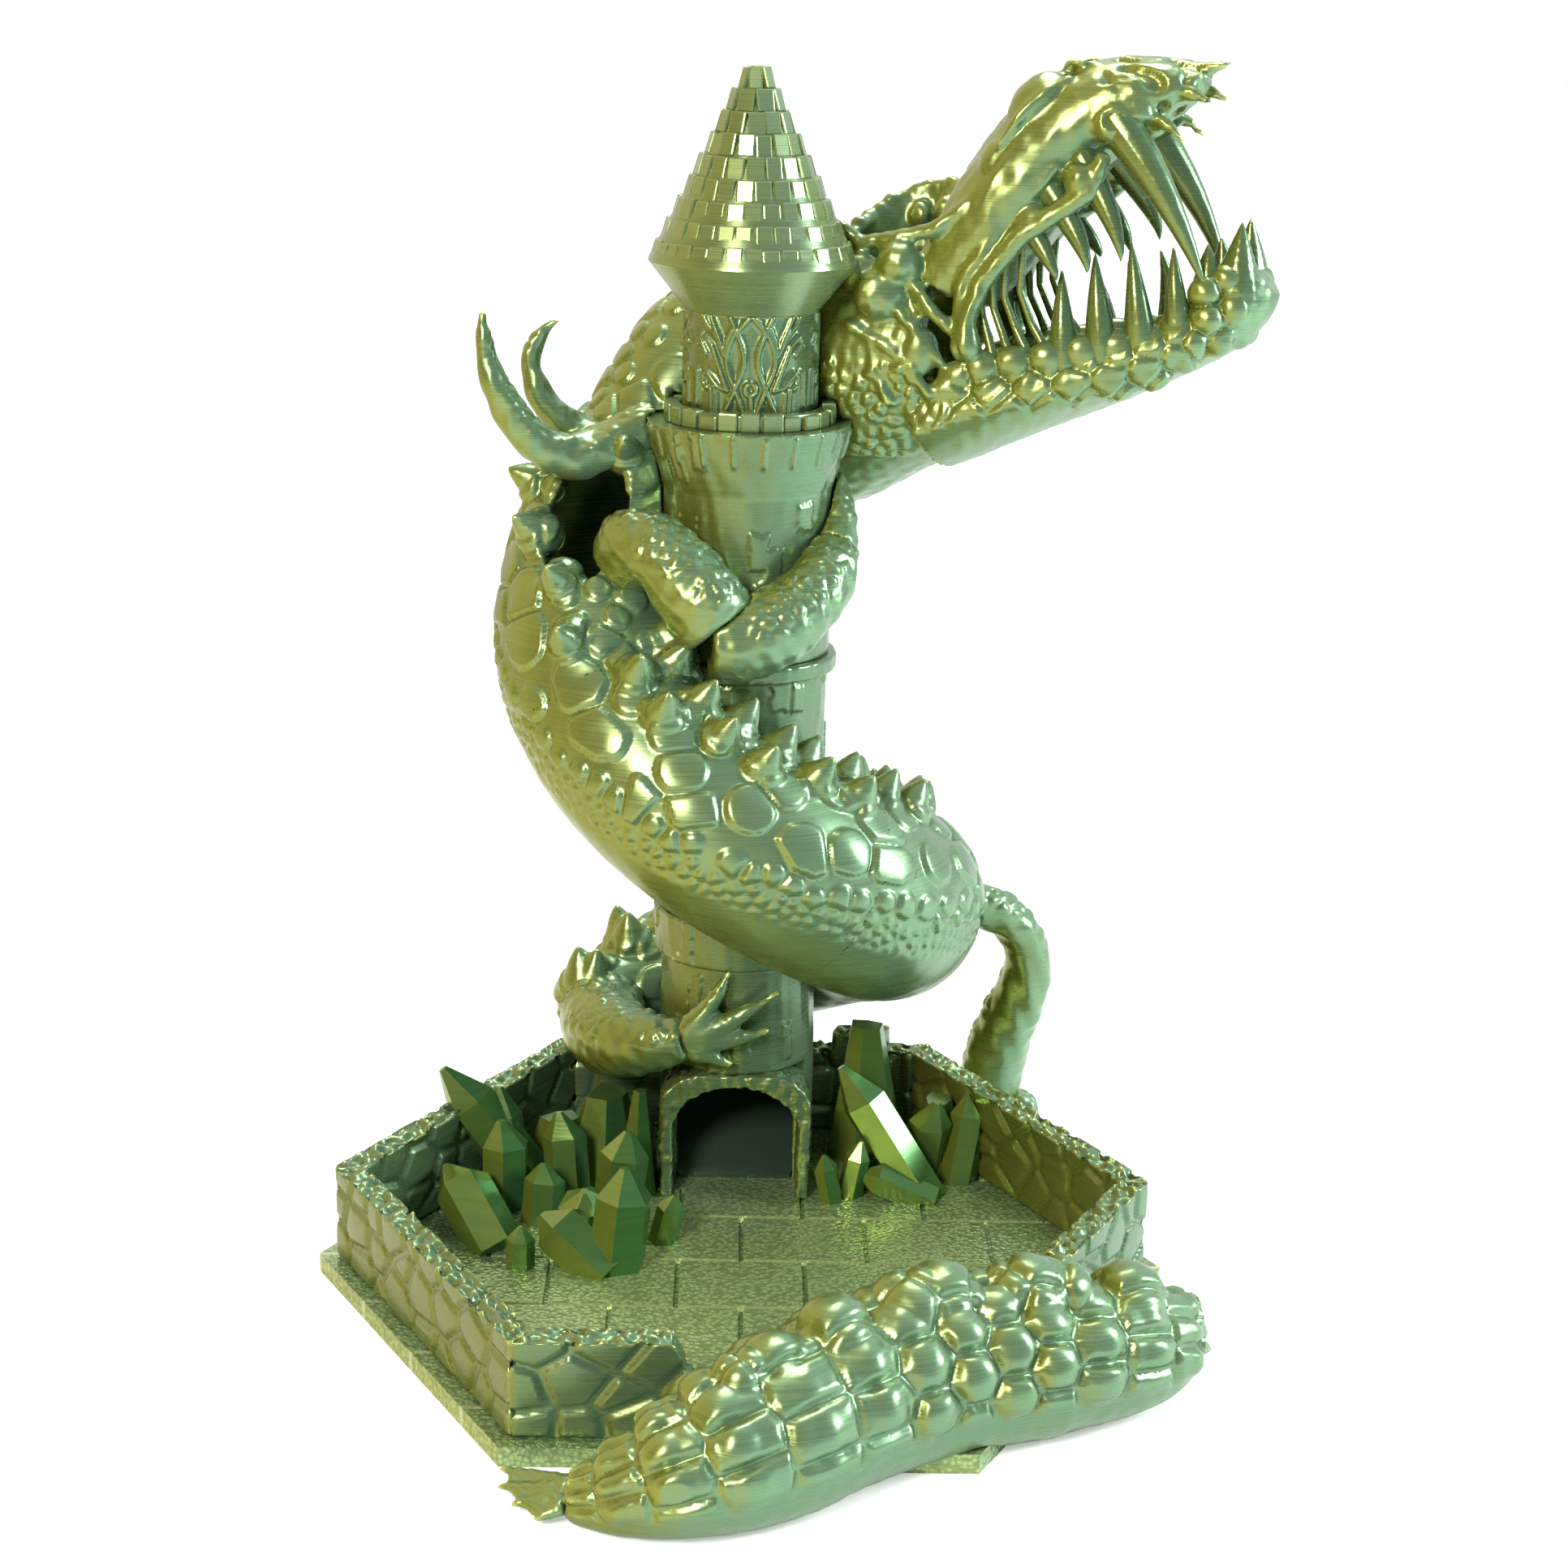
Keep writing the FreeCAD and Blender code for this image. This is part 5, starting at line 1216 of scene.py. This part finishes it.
def turned_profile(bm, profile, steps=96):
    """A solid of revolution on the tower's axis through (radius, height) in mm."""
    axis = Vector((TOWER[0], TOWER[1], 0)) * MM
    verts = [bm.verts.new(axis + Vector((r, 0, z)) * MM) for r, z in profile]
    edges = [bm.edges.new(pair) for pair in zip(verts, verts[1:])]
    bmesh.ops.spin(bm, geom=verts + edges, cent=axis, axis=(0, 0, 1), angle=2 * math.pi, steps=steps,
                   use_merge=True)
    bmesh.ops.remove_doubles(bm, verts=bm.verts, dist=0.01 * MM)
    bmesh.ops.recalc_face_normals(bm, faces=bm.faces)


def add_block(bm, turn, radius, height, size, tilt=0.0):
    """A block on the tower: its middle at a turn, radius and height; size is across, deep and tall, in mm."""
    axis = Matrix.Translation(Vector((TOWER[0], TOWER[1], height)) * MM) @ Matrix.Rotation(turn, 4, "Z")
    place = Matrix.Translation(Vector((0, -radius, 0)) * MM) @ Matrix.Rotation(tilt, 4, "X")
    shape = Matrix.Diagonal((*[s * MM for s in size], 1))
    bmesh.ops.create_cube(bm, size=1.0, matrix=axis @ place @ shape)


def bevelled(bm, offset, edges=None):
    bmesh.ops.bevel(bm, geom=bm.edges[:] if edges is None else edges, offset=offset * MM, offset_type="OFFSET",
                    affect="EDGES", segments=2, profile=0.5, material=-1, clamp_overlap=True)


def piece_of(bm, name, body, finish, replaces=(), smooth=False):
    mesh = bpy.data.meshes.new(name)
    bm.to_mesh(mesh)
    bm.free()
    piece = finished(mesh, name, body, finish, replaces)
    if not smooth:
        mesh.polygons.foreach_set("use_smooth", [False] * len(mesh.polygons))
    return piece


def make_roof_core():
    bm = bmesh.new()
    turned_profile(bm, [(0, ROOF_LOW), (NECK_RADIUS, ROOF_LOW), (EAVES_RADIUS, ROOF_EAVES),
                        (EAVES_RADIUS - 0.3, ROOF_EAVES + 1), (TIP_RADIUS - 0.6, ROOF_HIGH - 1.0),
                        (0, ROOF_HIGH - 0.3)])
    piece = piece_of(bm, "roof_core", "roof", TILE, ("roof_cone",), smooth=True)
    piece.data.set_sharp_from_angle(angle=math.radians(35))


def make_shingles():
    bm = bmesh.new()
    chance = np.random.default_rng(7)
    rise = (ROOF_HIGH - ROOF_EAVES) / COURSES
    for course in range(COURSES):
        bottom, top = ROOF_EAVES + rise * course, ROOF_EAVES + rise * (course + 1)
        low, high = cone_radius(bottom) - 0.7, cone_radius(top) + 0.3
        count = max(int(round(2 * math.pi * (low + high) / 2 / 4.3)), 6)
        tilt = math.atan2(low - high, top - bottom)
        slant = math.hypot(low - high, top - bottom)
        for i in range(count):
            turn = 2 * math.pi * (i + 0.5 * (course % 2) + chance.uniform(-0.07, 0.07)) / count
            wide = 2 * math.pi * (low + high) / 2 / count * chance.uniform(0.86, 0.99)
            lift = chance.uniform(-0.3, 0.25)
            add_block(bm, turn, (low + high) / 2 + chance.uniform(-0.15, 0.15) - 0.35,
                      (bottom + top) / 2 + lift - 0.2, (wide, 1.5, slant * 1.03), -tilt)
    bevelled(bm, 0.38)
    low, high = [v * MM for v in (ROOF_EAVES - 0.4, ROOF_HIGH - 0.02)]
    for vert in bm.verts:
        vert.co.z = min(max(vert.co.z, low), high)
    piece_of(bm, "roof_shingles", "roof", TILE)


make_roof_core()
make_shingles()


# %% Parapet blocks
def make_parapet():
    low, high = levels("battlement_ring")
    bm = bmesh.new()
    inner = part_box("carved_drum")[1].x / MM - TOWER[0] + 0.7
    turned_profile(bm, [(inner, low), (19.4, low), (19.4, high - 1.2), (inner, high - 1.2), (inner, low)])
    chance = np.random.default_rng(9)
    blocks = 24
    for i in range(blocks):
        tall = high - low - 0.9 + chance.uniform(-0.7, 0.6)
        wide = 2 * math.pi * 19.2 / blocks * chance.uniform(0.82, 0.98)
        add_block(bm, 2 * math.pi * (i + chance.uniform(-0.08, 0.08)) / blocks, 18.6 + chance.uniform(-0.3, 0.25),
                  low + tall / 2, (wide, 3.4, tall))
    bevelled(bm, 0.45)
    piece_of(bm, "parapet_blocks", "tower_and_dragon", TILE, ("battlement_ring",))


make_parapet()

# %% [markdown]
# ## Crystals with bright edges
# A printed crystal has flat faces, and its edges are just blunt enough to catch the light. A plain
# solid has no such edge. So the loose triangles of each cluster are joined back into flat faces,
# and only the sharp edges are bevelled, by a third of a millimetre.

# %% Crystals
def make_crystals(node):
    bm = solid_copy(node)
    bmesh.ops.dissolve_limit(bm, angle_limit=math.radians(1.0), verts=bm.verts[:], edges=bm.edges[:])
    sharp = [e for e in bm.edges if e.is_manifold and e.calc_face_angle(0) > math.radians(20)]
    bevelled(bm, 0.35, sharp)
    bmesh.ops.triangulate(bm, faces=bm.faces[:])
    piece_of(bm, node + "_cluster", "tray", CRYSTAL, (node,))


make_crystals("crystals_left")
make_crystals("crystals_right")

# %% Rough stone round the archway
sculpted("exit_archway", STONE, lambda p, n: 0.3 * waves(p, 4.0, 61), rounds=1, voxel=VOXEL * 0.8)

# %% [markdown]
# ## What stays as the CAD made it
# Flat and round parts need no new shape, only a finish, so the rest of the solids keep their meshes.

# %% Finishes for the remaining solids
LEFT_AS_MADE = {"base_plate": PAVING, "exit_ramp": SHADED}
for node, ob in NODES.items():
    if ob.hide_render:
        continue
    ob.data.materials.clear()
    ob.data.materials.append(LEFT_AS_MADE.get(node, TILE))
    print("as made:", node)

# %% [markdown]
# ## The table
# The toy stands on a pale table that fades to white with distance. The fade is seen by the camera
# only, so it puts no more light on the toy.

# %% Floor
def lay_floor():
    bm = bmesh.new()
    bmesh.ops.create_grid(bm, x_segments=1, y_segments=1, size=6.0)
    mesh = bpy.data.meshes.new("table")
    bm.to_mesh(mesh)
    bm.free()
    table = add_object("table", mesh)
    table.location.z = -0.00005
    paint = bpy.data.materials.new("white_table")
    paint.use_nodes = True
    g = Graph(paint.node_tree)
    away = g.add("ShaderNodeVectorMath", g.coordinates("Object"), operation="LENGTH")
    glow = g.range(away.outputs["Value"], 0.2, 1.6, 0.4, 1.0)
    seen = g.add("ShaderNodeLightPath").outputs["Is Camera Ray"]
    g.put(g.nodes["Principled BSDF"], {
        "Base Color": (0.9, 0.93, 0.9, 1), "Roughness": 0.7, "Emission Color": (0.97, 1.0, 0.98, 1),
        "Emission Strength": g.math("MULTIPLY", seen, glow)})
    mesh.materials.append(paint)


lay_floor()
